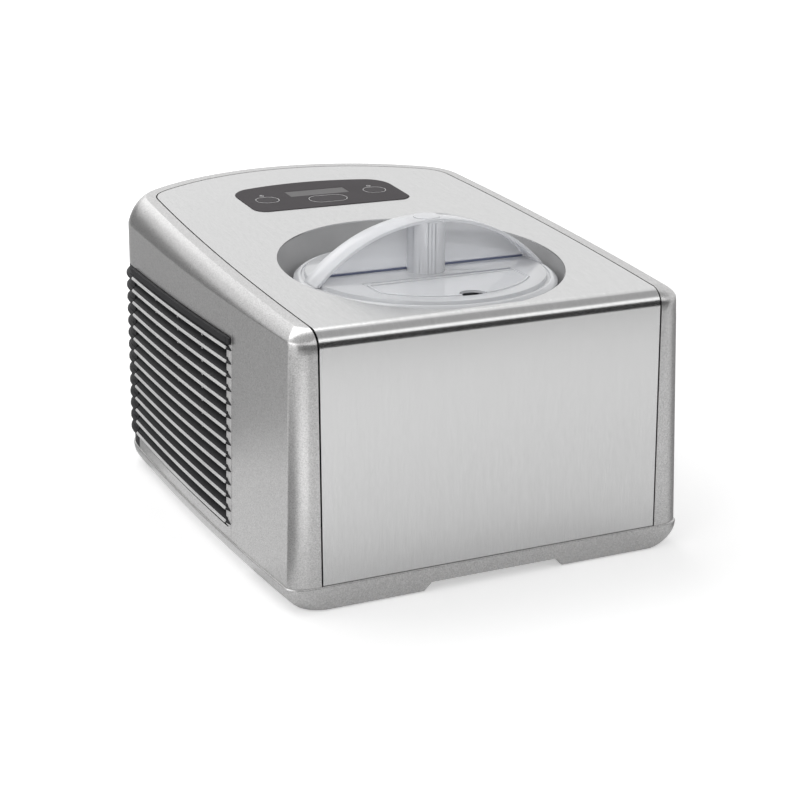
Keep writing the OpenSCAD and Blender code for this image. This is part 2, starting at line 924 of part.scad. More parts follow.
module button(at, size) {
    color(DARK)
        on_top()
            translate([at[0], at[1], -button_h + button_up])
                union() {
                    oval(size, button_h);
                }
}

module button_left() { button(left_at, side_button); }
module button_right() { button(right_at, side_button); }
module button_middle() { button(middle_at, long_button); }

// Cooling circuit

module evaporator_well() {
    color(ALU)
        at_axis()
            rotate_extrude($fn = 96)
                polygon([
                    [tube_r + 3, well_floor - well_t], [well_r + well_t, well_floor - well_t],
                    [well_r + well_t, well_top - 4], [well_r + well_t + 6, well_top - 4],
                    [well_r + well_t + 6, well_top - ledge_t], [well_r + well_t, well_top - ledge_t],
                    [well_r + well_t, well_top], [well_r, well_top],
                    [well_r, well_floor], [tube_r + 3, well_floor]
                ]);
}

// Tube along a helix, as one swept solid with six sides.
module evaporator_coil() {
    sides = 6;
    rings = coil_turns * coil_segments;
    z0 = well_floor + 8;
    pitch = (well_top - 16 - z0) / coil_turns;
    pts = [
        for (i = [0:rings], j = [0:sides - 1])
            let (a = 360 * i / coil_segments, b = 360 * j / sides, r = coil_r + coil_tube * cos(b))
            [r * cos(a), r * sin(a), z0 + pitch * i / coil_segments + coil_tube * sin(b)]
    ];
    skin = [
        for (i = [0:rings - 1], j = [0:sides - 1])
            let (k = (j + 1) % sides)
            [i * sides + j, i * sides + k, (i + 1) * sides + k, (i + 1) * sides + j]
    ];
    caps = [[for (j = [sides - 1:-1:0]) j], [for (j = [0:sides - 1]) rings * sides + j]];
    color(COPPER)
        at_axis()
            polyhedron(pts, concat(skin, caps), convexity = 6);
}

module foam_jacket() {
    color(FOAM)
        at_axis()
            rotate_extrude($fn = 96)
                polygon([
                    [tube_r + 3, foam_floor], [foam_out, foam_floor], [foam_out, well_top - 8],
                    [foam_in, well_top - 8], [foam_in, well_floor - well_t],
                    [tube_r + 3, well_floor - well_t]
                ]);
}

module compressor() {
    band_z = comp_z + comp_h * 0.55;
    color("#1f1f22")
        translate([comp_x, comp_y, 0]) {
            rotate_extrude($fn = 64)
                polygon(concat(
                    [[0, comp_z]],
                    [for (a = [-90:15:0])
                        [comp_r - comp_base_r, comp_z + comp_base_r] + comp_base_r * [cos(a), sin(a)]],
                    [[comp_r + comp_band, band_z], [comp_r + comp_band, band_z + comp_band_h]],
                    [for (a = [0:15:90])
                        [comp_r - 1 - comp_dome_r, comp_z + comp_h - comp_dome_r]
                        + comp_dome_r * [cos(a), sin(a)]],
                    [[0, comp_z + comp_h]]
                ));
            translate([-comp_r - comp_foot, -comp_r + 8, comp_z - 3])
                difference() {
                    cube([2 * (comp_r + comp_foot), 2 * comp_r - 16, 4]);
                    for (x = [7, 2 * comp_r + 5], y = [7, 2 * comp_r - 23])
                        translate([x, y, -1])
                            cylinder(r = 4, h = 6, $fn = 32);
                }
        }
}

module compressor_grommets() {
    color("#303033")
        for (x = [-1, 1], y = [-1, 1])
            translate([comp_x + x * (comp_r - 1), comp_y + y * (comp_r - 15), deck_z])
                rotate_extrude($fn = 32)
                    polygon([
                        [0, 0], [grommet_r, 0], [grommet_r, comp_z - 3 - deck_z],
                        [grommet_neck_r, comp_z - 3 - deck_z], [grommet_neck_r, comp_z + 1 - deck_z],
                        [grommet_head_r, comp_z + 1 - deck_z], [grommet_head_r, comp_z + 4 - deck_z],
                        [0, comp_z + 4 - deck_z]
                    ]);
}

module condenser() {
    pitch = cond_len / cond_fins;
    color(ALU)
        translate([cond_x, cond_y - cond_len / 2, cond_z])
            union() {
                for (i = [0:cond_fins])
                    translate([0, i * pitch - 0.4 * i / cond_fins, 0])
                        cube([cond_w, 0.8, cond_h]);
                for (x = [5, 15], z = [10:16:cond_h - 8])
                    translate([x, 0, z])
                        rotate([-90, 0, 0])
                            cylinder(r = 3, h = cond_len + 0.4, $fn = 24);
                for (z = [0, cond_h - 2])
                    translate([0, 0, z])
                        cube([cond_w, cond_len + 0.4, 2]);
            }
    color(ALU)
        for (y = [-1, 1])
            translate([cond_x, cond_y + y * (cond_len / 2 - 6) - 3, deck_z])
                cube([cond_w, 6, cond_z - deck_z + eps]);
}

module at_fan(x) {
    translate([x, cond_y, fan_z])
        rotate([0, 90, 0])
            children();
}

module fan_shroud() {
    x0 = cond_x + cond_w;
    color(BLACK)
        difference() {
            union() {
                translate([x0, cond_y - cond_len / 2, deck_z])
                    cube([shroud_t, cond_len, cond_z + cond_h - deck_z]);
                at_fan(x0 + shroud_t - eps)
                    tube(fan_r + fan_room + wall, fan_r + fan_room, fan_t + 2, 64);
                at_fan(x0 + shroud_t + fan_t + 2 - eps)
                    difference() {
                        cylinder(r = fan_r + fan_room + wall, h = guard_t, $fn = 64);
                        for (a = [0:90:270])
                            rotate([0, 0, a + 45])
                                translate([fan_motor_r, 0, -1])
                                    linear_extrude(5)
                                        polygon([
                                            [4, -4], [4, 4], [fan_r - fan_motor_r, 24],
                                            [fan_r - fan_motor_r, -24]
                                        ]);
                    }
            }
            at_fan(x0 - 1)
                cylinder(r = fan_r + fan_room, h = shroud_t + 2, $fn = 64);
            at_fan(x0)
                cylinder(r = bush_r + 1, h = 60, $fn = 32);
            screw_places()
                cylinder(r = screw_head_r + screw_room, h = deck_z + screw_head_h + screw_room, $fn = 48);
        }
}

module fan_motor() {
    x0 = cond_x + cond_w + shroud_t + fan_t + 5;
    color("#3c3c40")
        difference() {
            union() {
                at_fan(x0)
                    cylinder(r = fan_motor_r, h = fan_motor_len, $fn = 48);
                at_fan(x0 + fan_motor_len)
                    cylinder(r = 8, h = 4, $fn = 32);
                translate([x0 + 6, cond_y - 20, deck_z])
                    cube([14, 40, fan_z - deck_z - fan_motor_r + 3]);
            }
            at_fan(x0 - 1)
                cylinder(r = fan_pin_r + run_gap, h = fan_motor_len - 4, $fn = 32);
        }
}

module fan_blades() {
    x0 = cond_x + cond_w + shroud_t;
    color("#4a4a4e")
        at_fan(x0)
            union() {
                cylinder(r = fan_hub_r, h = fan_t, $fn = 48);
                cylinder(r = fan_pin_r, h = fan_t + 20, $fn = 32);
                for (a = [0:72:288])
                    rotate([0, 0, a])
                        intersection() {
                            translate([fan_hub_r - 2, 0, fan_t / 2])
                                rotate([fan_pitch, 0, 0])
                                    translate([0, -fan_chord / 2, -fan_sheet_t / 2])
                                        cube([fan_r, fan_chord, fan_sheet_t]);
                            cylinder(r = fan_r, h = fan_t, $fn = 64);
                        }
            }
}

module filter_drier() {
    color(COPPER)
        translate([comp_x - comp_r - 14, comp_y - comp_r, 0])
            rotate_extrude($fn = 32)
                polygon([
                    [0, deck_z], [tube_out_r, deck_z], [tube_out_r, 44], [drier_r, 54],
                    [drier_r, drier_top - 18], [tube_out_r, drier_top - 8],
                    [tube_out_r, drier_top], [0, drier_top]
                ]);
}

// Tube along a list of points, with six sides.
module swept_tube(path, r) {
    sides = 6;
    n = len(path);
    pts = [
        for (i = [0:n - 1], j = [0:sides - 1])
            let (t = (path[min(i + 1, n - 1)] - path[max(i - 1, 0)]),
                 d = t / norm(t),
                 u0 = abs(d[2]) > 0.9 ? [1, 0, 0] : [0, 0, 1],
                 s = cross(d, u0) / norm(cross(d, u0)),
                 v = cross(s, d), a = 360 * j / sides)
            path[i] + r * (s * cos(a) + v * sin(a))
    ];
    skin = [
        for (i = [0:n - 2], j = [0:sides - 1])
            let (k = (j + 1) % sides)
            [i * sides + j, (i + 1) * sides + j, (i + 1) * sides + k, i * sides + k]
    ];
    caps = [[for (j = [0:sides - 1]) j], [for (j = [sides - 1:-1:0]) (n - 1) * sides + j]];
    polyhedron(pts, concat(skin, caps), convexity = 6);
}

// The discharge line from the compressor's head round to the condenser.
module refrigerant_line() {
    head_z = comp_z + comp_h - 6;
    start = [comp_x - comp_r - 2.5, comp_y + 4];
    end_x = cond_x + cond_w / 2;
    span = end_x - start[0];
    steps = 14;
    color(COPPER)
        swept_tube([
            for (i = [0:steps])
                let (t = i / steps)
                [start[0] + span * t, start[1] + (cond_y - start[1]) * t,
                 head_z - 24 + (cond_z + cond_h - head_z + 28) * t + 16 * sin(180 * t)]
        ], tube_out_r);
}

module power_board() {
    color(GREEN)
        translate([board_x, board_y, deck_z])
            union() {
                translate([0, 0, board_lift])
                    cube([board_size[0], board_size[1], board_t]);
                for (x = [board_post_in, board_size[0] - board_post_in],
                     y = [board_post_in, board_size[1] - board_post_in])
                    translate([x, y, 0])
                        cylinder(r = board_post_r, h = board_lift + eps, $fn = 24);
                translate([6, 6, board_lift + board_t - eps])
                    cube([26, 22, 20]);
                translate([38, 8, board_lift + board_t - eps])
                    cube([10, 30, 12]);
            }
}

module run_capacitor() {
    color("#cfcfd2")
        translate([cap_x, cap_y, deck_z])
            difference() {
                cylinder(r = cap_r, h = cap_h, $fn = 48);
                translate([0, 0, cap_h - 2])
                    cylinder(r = cap_r - 1.5, h = 3, $fn = 48);
            }
}

module screw_places() {
    for (x = [-foot_x, foot_x], y = [foot_front, foot_back])
        translate([x, y, 0])
            children();
}

module base_screws() {
    color("#77777a")
        screw_places()
            union() {
                translate([0, 0, foot_gap + 2])
                    cylinder(r = screw_r - run_gap, h = deck_z - foot_gap, $fn = 24);
                translate([0, 0, deck_z])
                    cylinder(r = screw_head_r, h = screw_head_h, $fn = 24);
            }
}

// Drive train

// Spur gear: straight flanks with a relieved root, thinned for backlash.
module spur_gear(teeth, h) {
    r = gear_m * teeth / 2;
    half = 90 / teeth - 57.3 * 0.12 * gear_m / r;
    root = r - 1.25 * gear_m;
    tip = r + 0.95 * gear_m;
    root_half = half + 57.3 * 0.42 * gear_m / r;
    tip_half = half - 57.3 * 0.36 * gear_m / r;
    linear_extrude(h)
        polygon([
            for (i = [0:teeth - 1], p = [[root, -root_half], [r, -half], [tip, -tip_half],
                                         [tip, tip_half], [r, half], [root, root_half]])
                let (a = 360 * i / teeth + p[1])
                p[0] * [cos(a), sin(a)]
        ]);
}

module motor_pinion() {
    color(WHITE)
        translate([motor_at[0], motor_at[1], 0])
            rotate([0, 0, drive_dir + 180])
                union() {
                    translate([0, 0, gear_high_z])
                        spur_gear(pinion_teeth, gear_high_t);
                    translate([0, 0, gear_high_z - 4])
                        cylinder(r = 3, h = gear_high_t + 4 + 20, $fn = 32);
                }
}

module idler_gear() {
    color(WHITE)
        translate([idler_at[0], idler_at[1], 0])
            union() {
                translate([0, 0, gear_high_z])
                    rotate([0, 0, drive_dir + 180 / wheel_teeth])
                        spur_gear(wheel_teeth, gear_high_t);
                translate([0, 0, gear_low_z])
                    rotate([0, 0, drive_dir + 180])
                        spur_gear(idler_teeth, gear_low_t + 2);
                translate([0, 0, box_z + 1])
                    cylinder(r = bush_r, h = box_h - 2 + cover_t, $fn = 32);
            }
}

module output_gear() {
    color(WHITE)
        translate([0, axis_y, gear_low_z])
            difference() {
                rotate([0, 0, drive_dir + 180 / output_teeth])
                    spur_gear(output_teeth, gear_low_t);
                translate([0, 0, -1])
                    cylinder(r = shaft_r + run_gap, h = gear_low_t + 2, $fn = 48);
            }
}

// Section of the shaft's driving end, with two flats, grown by g.
module shaft_section(g) {
    intersection() {
        circle(r = shaft_r + g, $fn = 48);
        square([2 * (flat_x + g), 4 * shaft_r], center = true);
    }
}

module drive_shaft() {
    color("#9a9ca0")
        at_axis()
            union() {
                translate([0, 0, box_z + 0.6])
                    cylinder(r = shaft_r, h = bowl_bottom + tube_h - 0.6 - box_z, $fn = 48);
                translate([0, 0, bowl_bottom + tube_h - 1])
                    linear_extrude(13)
                        shaft_section(0);
            }
}

module gearbox_plan(g) {
    hull() {
        translate([0, axis_y])
            circle(r = output_r + gear_m + 2 + g, $fn = 64);
        translate(idler_at)
            circle(r = wheel_r + gear_m + 2 + g, $fn = 64);
        translate(motor_at)
            circle(r = pinion_r + gear_m + 4 + g, $fn = 48);
    }
}

module gearbox_housing() {
    color("#3a3a3e")
        difference() {
            union() {
                translate([0, 0, box_z])
                    linear_extrude(box_h)
                        gearbox_plan(box_wall);
                for (p = [[0, axis_y - 40], idler_at, motor_at])
                    translate([p[0], p[1], deck_z])
                        cylinder(r = 8, h = box_z - deck_z + eps, $fn = 32);
            }
            translate([0, 0, box_z + box_wall])
                linear_extrude(box_h)
                    gearbox_plan(0);
            translate([0, axis_y, box_z + 0.5])
                cylinder(r = shaft_r + run_gap, h = box_h, $fn = 48);
            translate([idler_at[0], idler_at[1], box_z + 0.5])
                cylinder(r = bush_r + run_gap, h = box_h, $fn = 32);
        }
}

module gearbox_cover() {
    color("#3a3a3e")
        difference() {
            union() {
                translate([0, 0, box_z + box_h])
                    linear_extrude(cover_t)
                        gearbox_plan(box_wall);
                translate([0, axis_y, box_z + box_h])
                    cylinder(r = shaft_r + 4, h = foam_floor - box_z - box_h, $fn = 48);
            }
            translate([0, axis_y, box_z])
                cylinder(r = shaft_r + run_gap, h = 60, $fn = 48);
            translate([idler_at[0], idler_at[1], box_z])
                cylinder(r = bush_r + run_gap, h = 60, $fn = 32);
            translate([motor_at[0], motor_at[1], box_z])
                cylinder(r = 6, h = 60, $fn = 32);
        }
}

module drive_motor() {
    z0 = box_z + box_h + cover_t;
    color("#8d8f94")
        translate([motor_at[0], motor_at[1], z0])
            difference() {
                union() {
                    cylinder(r = motor_r, h = motor_h, $fn = 48);
                    translate([0, 0, motor_h])
                        cylinder(r = 9, h = 4, $fn = 32);
                }
                translate([0, 0, -1])
                    cylinder(r = 3 + run_gap, h = 20, $fn = 32);
            }
}

// Bowl, paddle and lid

module bowl() {
    color(ALU)
        at_axis()
            difference() {
                union() {
                    rotate_extrude($fn = 96)
                        polygon([
                            [tube_r + bowl_wall, bowl_bottom + bowl_wall],
                            [bowl_r - 6, bowl_bottom + bowl_wall], [bowl_r, bowl_bottom + 8],
                            [bowl_r, rim_z], [bowl_r + bowl_wall + bowl_lip, rim_z],
                            [bowl_r + bowl_wall + bowl_lip, rim_z - 1.6],
                            [bowl_r + bowl_wall, rim_z - 1.6], [bowl_r + bowl_wall, bowl_bottom + 7],
                            [bowl_r - 5, bowl_bottom], [tube_r, bowl_bottom],
                            [tube_r, bowl_bottom + tube_h - 4], [shaft_r + 1, bowl_bottom + tube_h - 2],
                            [shaft_r + 1, bowl_bottom + tube_h], [tube_r, bowl_bottom + tube_h],
                            [tube_r + bowl_wall, bowl_bottom + tube_h - 4]
                        ]);
                    for (s = [-1, 1])
                        translate([s * (bowl_r + bowl_wall + bowl_lip - 1.5), 0, rim_z - 4.3])
                            cube([ear_t, 8, 6.2], center = true);
                }
                for (s = [-1, 1])
                    translate([s * (bowl_r + bowl_wall + bowl_lip), 0, rim_z - 4.6])
                        rotate([0, 90, 0])
                            cylinder(r = pivot_r, h = 12, center = true, $fn = 24);
            }
}

// Bail handle, folded down behind the rim, with a pin at each end.
module bowl_handle() {
    z = rim_z - 4.6;
    color(ALU)
        translate([0, axis_y, z]) {
            rotate_extrude(angle = 180, $fn = 96)
                translate([handle_in, -handle_h / 2])
                    square([handle_t, handle_h]);
            for (s = [-1, 1])
                translate([s * (handle_in - 0.9), 0, 0])
                    rotate([0, 90, 0])
                        cylinder(r = pivot_r - run_gap, h = 3.6, center = true, $fn = 24);
        }
}

module paddle() {
    blade_h = paddle_top - paddle_z;
    color(WHITE)
        at_axis()
            difference() {
                union() {
                    translate([0, 0, paddle_z])
                        cylinder(r1 = hub_r + 3, r2 = hub_r - 2, h = hub_h, $fn = 48);
                    for (a = [0, 180])
                        rotate([0, 0, a]) {
                            translate([hub_r - 3, -6, paddle_z])
                                cube([paddle_r - hub_r - 6, 12, 5]);
                            translate([paddle_r - 17, 0, paddle_z])
                                intersection() {
                                    translate([0, 0, blade_h / 2])
                                        rotate([blade_tilt, 0, 0])
                                            translate([0, -blade_t / 2, -blade_h])
                                                cube([14, blade_t, 2 * blade_h]);
                                    translate([0, -30, 0])
                                        cube([30, 60, blade_h]);
                                }
                            translate([hub_r - 3, -3, paddle_z + hub_h - 8])
                                cube([paddle_r - hub_r - 4, 6, 5]);
                        }
                }
                translate([0, 0, paddle_z - 1])
                    cylinder(r = tube_r + bowl_wall + 1, h = tube_h + 1, $fn = 48);
                translate([0, 0, paddle_z])
                    cylinder(r = shaft_r + fit_gap, h = bowl_bottom + tube_h + 1 - paddle_z, $fn = 48);
                translate([0, 0, bowl_bottom + tube_h])
                    linear_extrude(hub_h - 3 + paddle_z - bowl_bottom - tube_h)
                        shaft_section(fit_gap);
            }
}

// Plan of the flap and of its opening, grown by g and by another amount at the hinge.
module flap_plan(g, hinge_g) {
    a = asin((flap_half + g) / (flap_r + g));
    polygon(concat(
        [[flap_half + g, flap_back + hinge_g], [-flap_half - g, flap_back + hinge_g]],
        [for (i = [0:16])
            let (b = -a + 2 * a * i / 16)
            (flap_r + g) * [sin(b), -cos(b)]]
    ));
}

// Slice of a disc of radius r above a level, less a smaller disc.
module arch(r, r_in, level) {
    difference() {
        circle(r = r, $fn = 160);
        if (r_in > 0)
            circle(r = r_in, $fn = 160);
        translate([-2 * r, level - 4 * r])
            square([4 * r, 4 * r]);
    }
}

module lid() {
    top = plate_z + strap_rise;
    color(CLEAR, 0.5)
        at_axis()
            difference() {
                union() {
                    rotate_extrude($fn = 96)
                        polygon([
                            [0, plate_z - plate_t], [skirt_r - 2.6, plate_z - plate_t],
                            [skirt_r - 2.6, rim_z - skirt_h], [skirt_r - 0.8, rim_z - skirt_h],
                            [skirt_r, rim_z], [lid_r, rim_z], [lid_r, lid_z],
                            [plate_r + 5, plate_z - 2], [plate_r + 3, plate_z - 1.8],
                            [plate_r + 2.2, plate_z - 3], [plate_r + 0.6, plate_z - 3],
                            [plate_r, plate_z], [0, plate_z]
                        ]);
                    translate([0, 0, top - strap_r])
                        rotate([90, 0, 0])
                            translate([0, 0, -strap_w / 2])
                                linear_extrude(strap_w)
                                    arch(strap_r, strap_r - strap_t, strap_r - strap_rise - 3.6);
                    translate([0, strap_w / 2 - 0.6, top - strap_r])
                        rotate([90, 0, 0])
                            linear_extrude(web_t)
                                arch(strap_r - strap_t / 2, 0, strap_r - strap_rise - 1.2);
                    translate([0, 0, plate_z - 1])
                        tube(post_d / 2, post_d / 2 - 1.8, strap_rise - strap_t + 1.6, 48);
                    translate([0, 0, top - strap_t - 0.3])
                        cylinder(r = 9.5, h = strap_t + 1, $fn = 48);
                }
                translate([0, 0, plate_z - flap_t - flap_gap])
                    linear_extrude(2 * flap_t)
                        flap_plan(flap_gap, hinge_room);
                translate([0, 0, plate_z - 2 * plate_t])
                    linear_extrude(3 * plate_t)
                        flap_plan(-1.6, hinge_room);
                translate([0, flap_back - hinge_in, plate_z - flap_t / 2])
                    rotate([0, 90, 0])
                        cylinder(r = hinge_r + run_gap, h = 2 * flap_half + 7, center = true, $fn = 24);
            }
}

module mix_in_flap() {
    color(CLEAR, 0.5)
        at_axis()
            difference() {
                union() {
                    translate([0, 0, plate_z - flap_t])
                        linear_extrude(flap_t)
                            flap_plan(0, 0);
                    translate([0, 0, plate_z - 0.5])
                        linear_extrude(1.3)
                            difference() {
                                flap_plan(-0.3, -6);
                                flap_plan(-1.8, -7.5);
                            }
                    translate([0, flap_back - hinge_in, plate_z - flap_t / 2])
                        rotate([0, 90, 0])
                            cylinder(r = hinge_r, h = 2 * flap_half + 5, center = true, $fn = 24);
                }
                translate([0, notch_y, plate_z - 10])
                    cylinder(r = notch_r, h = 20, $fn = 48);
            }
}

base_tray();
rubber_feet();
outer_shell();
front_top_panel();
left_grille();
right_grille();
rear_cover();
rear_louvre();
cord_gland();
well_collar();
control_bezel();
lcd_window();
lcd_module();
control_board();
evaporator_well();
evaporator_coil();
foam_jacket();
compressor();
compressor_grommets();
condenser();
fan_shroud();
fan_motor();
filter_drier();
refrigerant_line();
drive_motor();
gearbox_housing();
gearbox_cover();
power_board();
run_capacitor();
base_screws();
fan_blades();
motor_pinion();
idler_gear();
output_gear();
drive_shaft();
paddle();
bowl();
bowl_handle();
lid();
mix_in_flap();
button_left();
button_middle();
button_right();
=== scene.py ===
import logging
import math
from dataclasses import dataclass, field
from enum import Enum
from functools import partial
from typing import Callable, Sequence

import bmesh
import bpy
from mathutils import Matrix, Vector


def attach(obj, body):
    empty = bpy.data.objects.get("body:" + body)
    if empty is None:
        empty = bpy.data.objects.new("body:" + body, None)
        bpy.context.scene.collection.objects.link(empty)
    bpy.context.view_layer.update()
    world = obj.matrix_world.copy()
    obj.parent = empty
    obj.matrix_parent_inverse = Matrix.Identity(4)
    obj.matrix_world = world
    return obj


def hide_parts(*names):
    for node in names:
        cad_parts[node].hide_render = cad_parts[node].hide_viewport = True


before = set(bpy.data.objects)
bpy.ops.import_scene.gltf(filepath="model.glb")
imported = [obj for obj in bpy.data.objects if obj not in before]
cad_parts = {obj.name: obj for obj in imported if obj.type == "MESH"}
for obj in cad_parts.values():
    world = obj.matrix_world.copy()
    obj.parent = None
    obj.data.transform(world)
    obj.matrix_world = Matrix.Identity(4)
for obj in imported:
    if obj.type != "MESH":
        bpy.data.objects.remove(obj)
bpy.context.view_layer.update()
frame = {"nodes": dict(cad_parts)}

LOG = logging.getLogger("ice_cream_maker")
MM = 0.001
Point = tuple[float, float, float]
Flat = tuple[float, float]


# ---------------------------------------------------------------- meshes


def ring_faces(count: int, rings: int, closed: bool = True) -> list[tuple[int, ...]]:
    """Quads that join each ring of points to the next.

    Args:
        count: Points in a ring.
        rings: Number of rings.
        closed: Whether the last point of a ring joins the first.

    Returns:
        Faces that point outwards for rings that run anticlockwise from below to above.
    """
    last = count if closed else count - 1
    return [
        (j * count + i, j * count + (i + 1) % count, (j + 1) * count + (i + 1) % count, (j + 1) * count + i)
        for j in range(rings - 1)
        for i in range(last)
    ]


def make_piece(
    name: str,
    points: Sequence[Point],
    faces: Sequence[Sequence[int]],
    finish: bpy.types.Material,
    sharp: float = 32.0,
    weld: float = 0.0,
    outward: bool = True,
) -> bpy.types.Object:
    """Makes an object of a mesh whose points are in millimetres.

    Args:
        name: The piece's name.
        points: Corner points in millimetres.
        faces: Indices of each face's points.
        finish: The material it wears.
        sharp: Edges that turn more than this, in degrees, stay sharp.
        weld: Points nearer than this, in millimetres, are merged.
        outward: Whether normals are worked out again after the weld.

    Returns:
        The new object, linked to the scene.
    """
    mesh = bpy.data.meshes.new(name)
    mesh.from_pydata([(x * MM, y * MM, z * MM) for x, y, z in points], [], [list(f) for f in faces])
    if weld > 0.0:
        work = bmesh.new()
        work.from_mesh(mesh)
        bmesh.ops.remove_doubles(work, verts=work.verts, dist=weld * MM)
        bmesh.ops.dissolve_degenerate(work, edges=work.edges, dist=weld * MM * 0.5)
        if outward:
            bmesh.ops.recalc_face_normals(work, faces=work.faces)
        work.to_mesh(mesh)
        work.free()
    mesh.update()
    piece = bpy.data.objects.new(name, mesh)
    bpy.context.scene.collection.objects.link(piece)
    mesh.materials.append(finish)
    shade(piece, sharp)
    return piece


def shade(piece: bpy.types.Object, sharp: float) -> None:
    """Shades a piece smooth, apart from its sharp edges.

    Args:
        piece: The object to shade.
        sharp: Edges that turn more than this, in degrees, stay sharp.
    """
    own = piece.data.attributes.get("custom_normal")
    if own is not None:
        piece.data.attributes.remove(own)
    piece.data.shade_smooth()
    piece.data.set_sharp_from_angle(angle=math.radians(sharp))


def bake(piece: bpy.types.Object, sharp: float | None = 32.0) -> None:
    """Turns a piece's modifiers into its mesh.

    Args:
        piece: The object to change.
        sharp: Angle for sharp edges afterwards, or None to keep what the modifiers gave.
    """
    graph = bpy.context.evaluated_depsgraph_get()
    done = bpy.data.meshes.new_from_object(piece.evaluated_get(graph), depsgraph=graph)
    old = piece.data
    piece.modifiers.clear()
    piece.data = done
    if old.users == 0:
        bpy.data.meshes.remove(old)
    if sharp is not None:
        shade(piece, sharp)


def carve(
    piece: bpy.types.Object, cutters: Sequence[bpy.types.Object], operation: str = "DIFFERENCE"
) -> None:
    """Cuts the cutters out of a piece, or joins them to it, and removes them.

    Args:
        piece: The object to change.
        cutters: The objects to cut with.
        operation: The boolean to use.
    """
    for cutter in cutters:
        change = piece.modifiers.new("carve", "BOOLEAN")
        change.operation = operation
        change.solver = "EXACT"
        change.object = cutter
    bake(piece)
    for cutter in cutters:
        bpy.data.objects.remove(cutter)


def soften(piece: bpy.types.Object, width: float, segments: int = 3, angle: float = 30.0) -> None:
    """Rounds a piece's sharp edges.

    Args:
        piece: The object to change.
        width: Width of the rounding in millimetres.
        segments: Facets across it.
        angle: Edges that turn more than this, in degrees, are rounded.
    """
    bevel = piece.modifiers.new("soften", "BEVEL")
    bevel.width = width * MM
    bevel.segments = segments
    bevel.limit_method = "ANGLE"
    bevel.angle_limit = math.radians(angle)
    bevel.harden_normals = False
    bake(piece, 45.0)
    even = piece.modifiers.new("even", "WEIGHTED_NORMAL")
    even.keep_sharp = True
    bake(piece, None)


def thicken(piece: bpy.types.Object, wall: float) -> None:
    """Gives an open surface a wall behind its faces.

    Args:
        piece: The surface.
        wall: The wall's thickness in millimetres.
    """
    solid = piece.modifiers.new("wall", "SOLIDIFY")
    solid.thickness = wall * MM
    solid.offset = -1.0
    solid.use_even_offset = True
    bake(piece)


def turned(
    name: str,
    profile: Sequence[Flat],
    centre: Flat,
    finish: bpy.types.Material,
    steps: int = 128,
    sharp: float = 32.0,
) -> bpy.types.Object:
    """Turns a closed profile of (radius, height) points round a vertical axis.

    Args:
        name: The piece's name.
        profile: The section, as radius and height in millimetres.
        centre: Where the axis stands.
        finish: The material it wears.
        steps: Facets round the axis.
        sharp: Angle for sharp edges.

    Returns:
        The closed object.
    """
    points: list[Point] = []
    for k in range(steps):
        a = math.tau * k / steps
        points += [(centre[0] + r * math.cos(a), centre[1] + r * math.sin(a), z) for r, z in profile]
    n = len(profile)
    faces = [
        (k * n + i, ((k + 1) % steps) * n + i, ((k + 1) % steps) * n + (i + 1) % n, k * n + (i + 1) % n)
        for k in range(steps)
        for i in range(n)
    ]
    return make_piece(name, points, faces, finish, sharp=sharp, weld=0.001)


def capped_faces(count: int, rings: int = 2) -> list[Sequence[int]]:
    """Faces of a closed solid made of rings of points.

    Args:
        count: Points in a ring.
        rings: Number of rings.

    Returns:
        The quads between the rings, then a cap for the first and one for the last.
    """
    faces: list[Sequence[int]] = ring_faces(count, rings)
    return faces + [list(range(count - 1, -1, -1)), list(range((rings - 1) * count, rings * count))]


def prism(
    name: str, outline: Sequence[Flat], low: float, high: float, finish: bpy.types.Material
) -> bpy.types.Object:
    """Raises a flat outline between two heights, in millimetres.

    Args:
        name: The piece's name.
        outline: The plan.
        low: The lower height.
        high: The upper height.
        finish: The material it wears.

    Returns:
        The closed object.
    """
    points = [(x, y, z) for z in (low, high) for x, y in outline]
    return make_piece(name, points, capped_faces(len(outline)), finish, weld=0.001)


def arc_points(centre: Flat, radius: float, start: float, end: float, steps: int) -> list[Flat]:
    """Points along an arc.

    Args:
        centre: The arc's centre.
        radius: Its radius.
        start: The first point's angle in degrees.
        end: The last point's angle in degrees.
        steps: Stretches between the points.

    Returns:
        The points, both ends among them.
    """
    return [
        (
            centre[0] + radius * math.cos(math.radians(start + (end - start) * k / steps)),
            centre[1] + radius * math.sin(math.radians(start + (end - start) * k / steps)),
        )
        for k in range(steps + 1)
    ]


def report(piece: bpy.types.Object) -> bpy.types.Object:
    """Logs a finished piece and hands it on."""
    LOG.info("%s made with %d faces", piece.name, len(piece.data.polygons))
    return piece


# ---------------------------------------------------------------- finishes


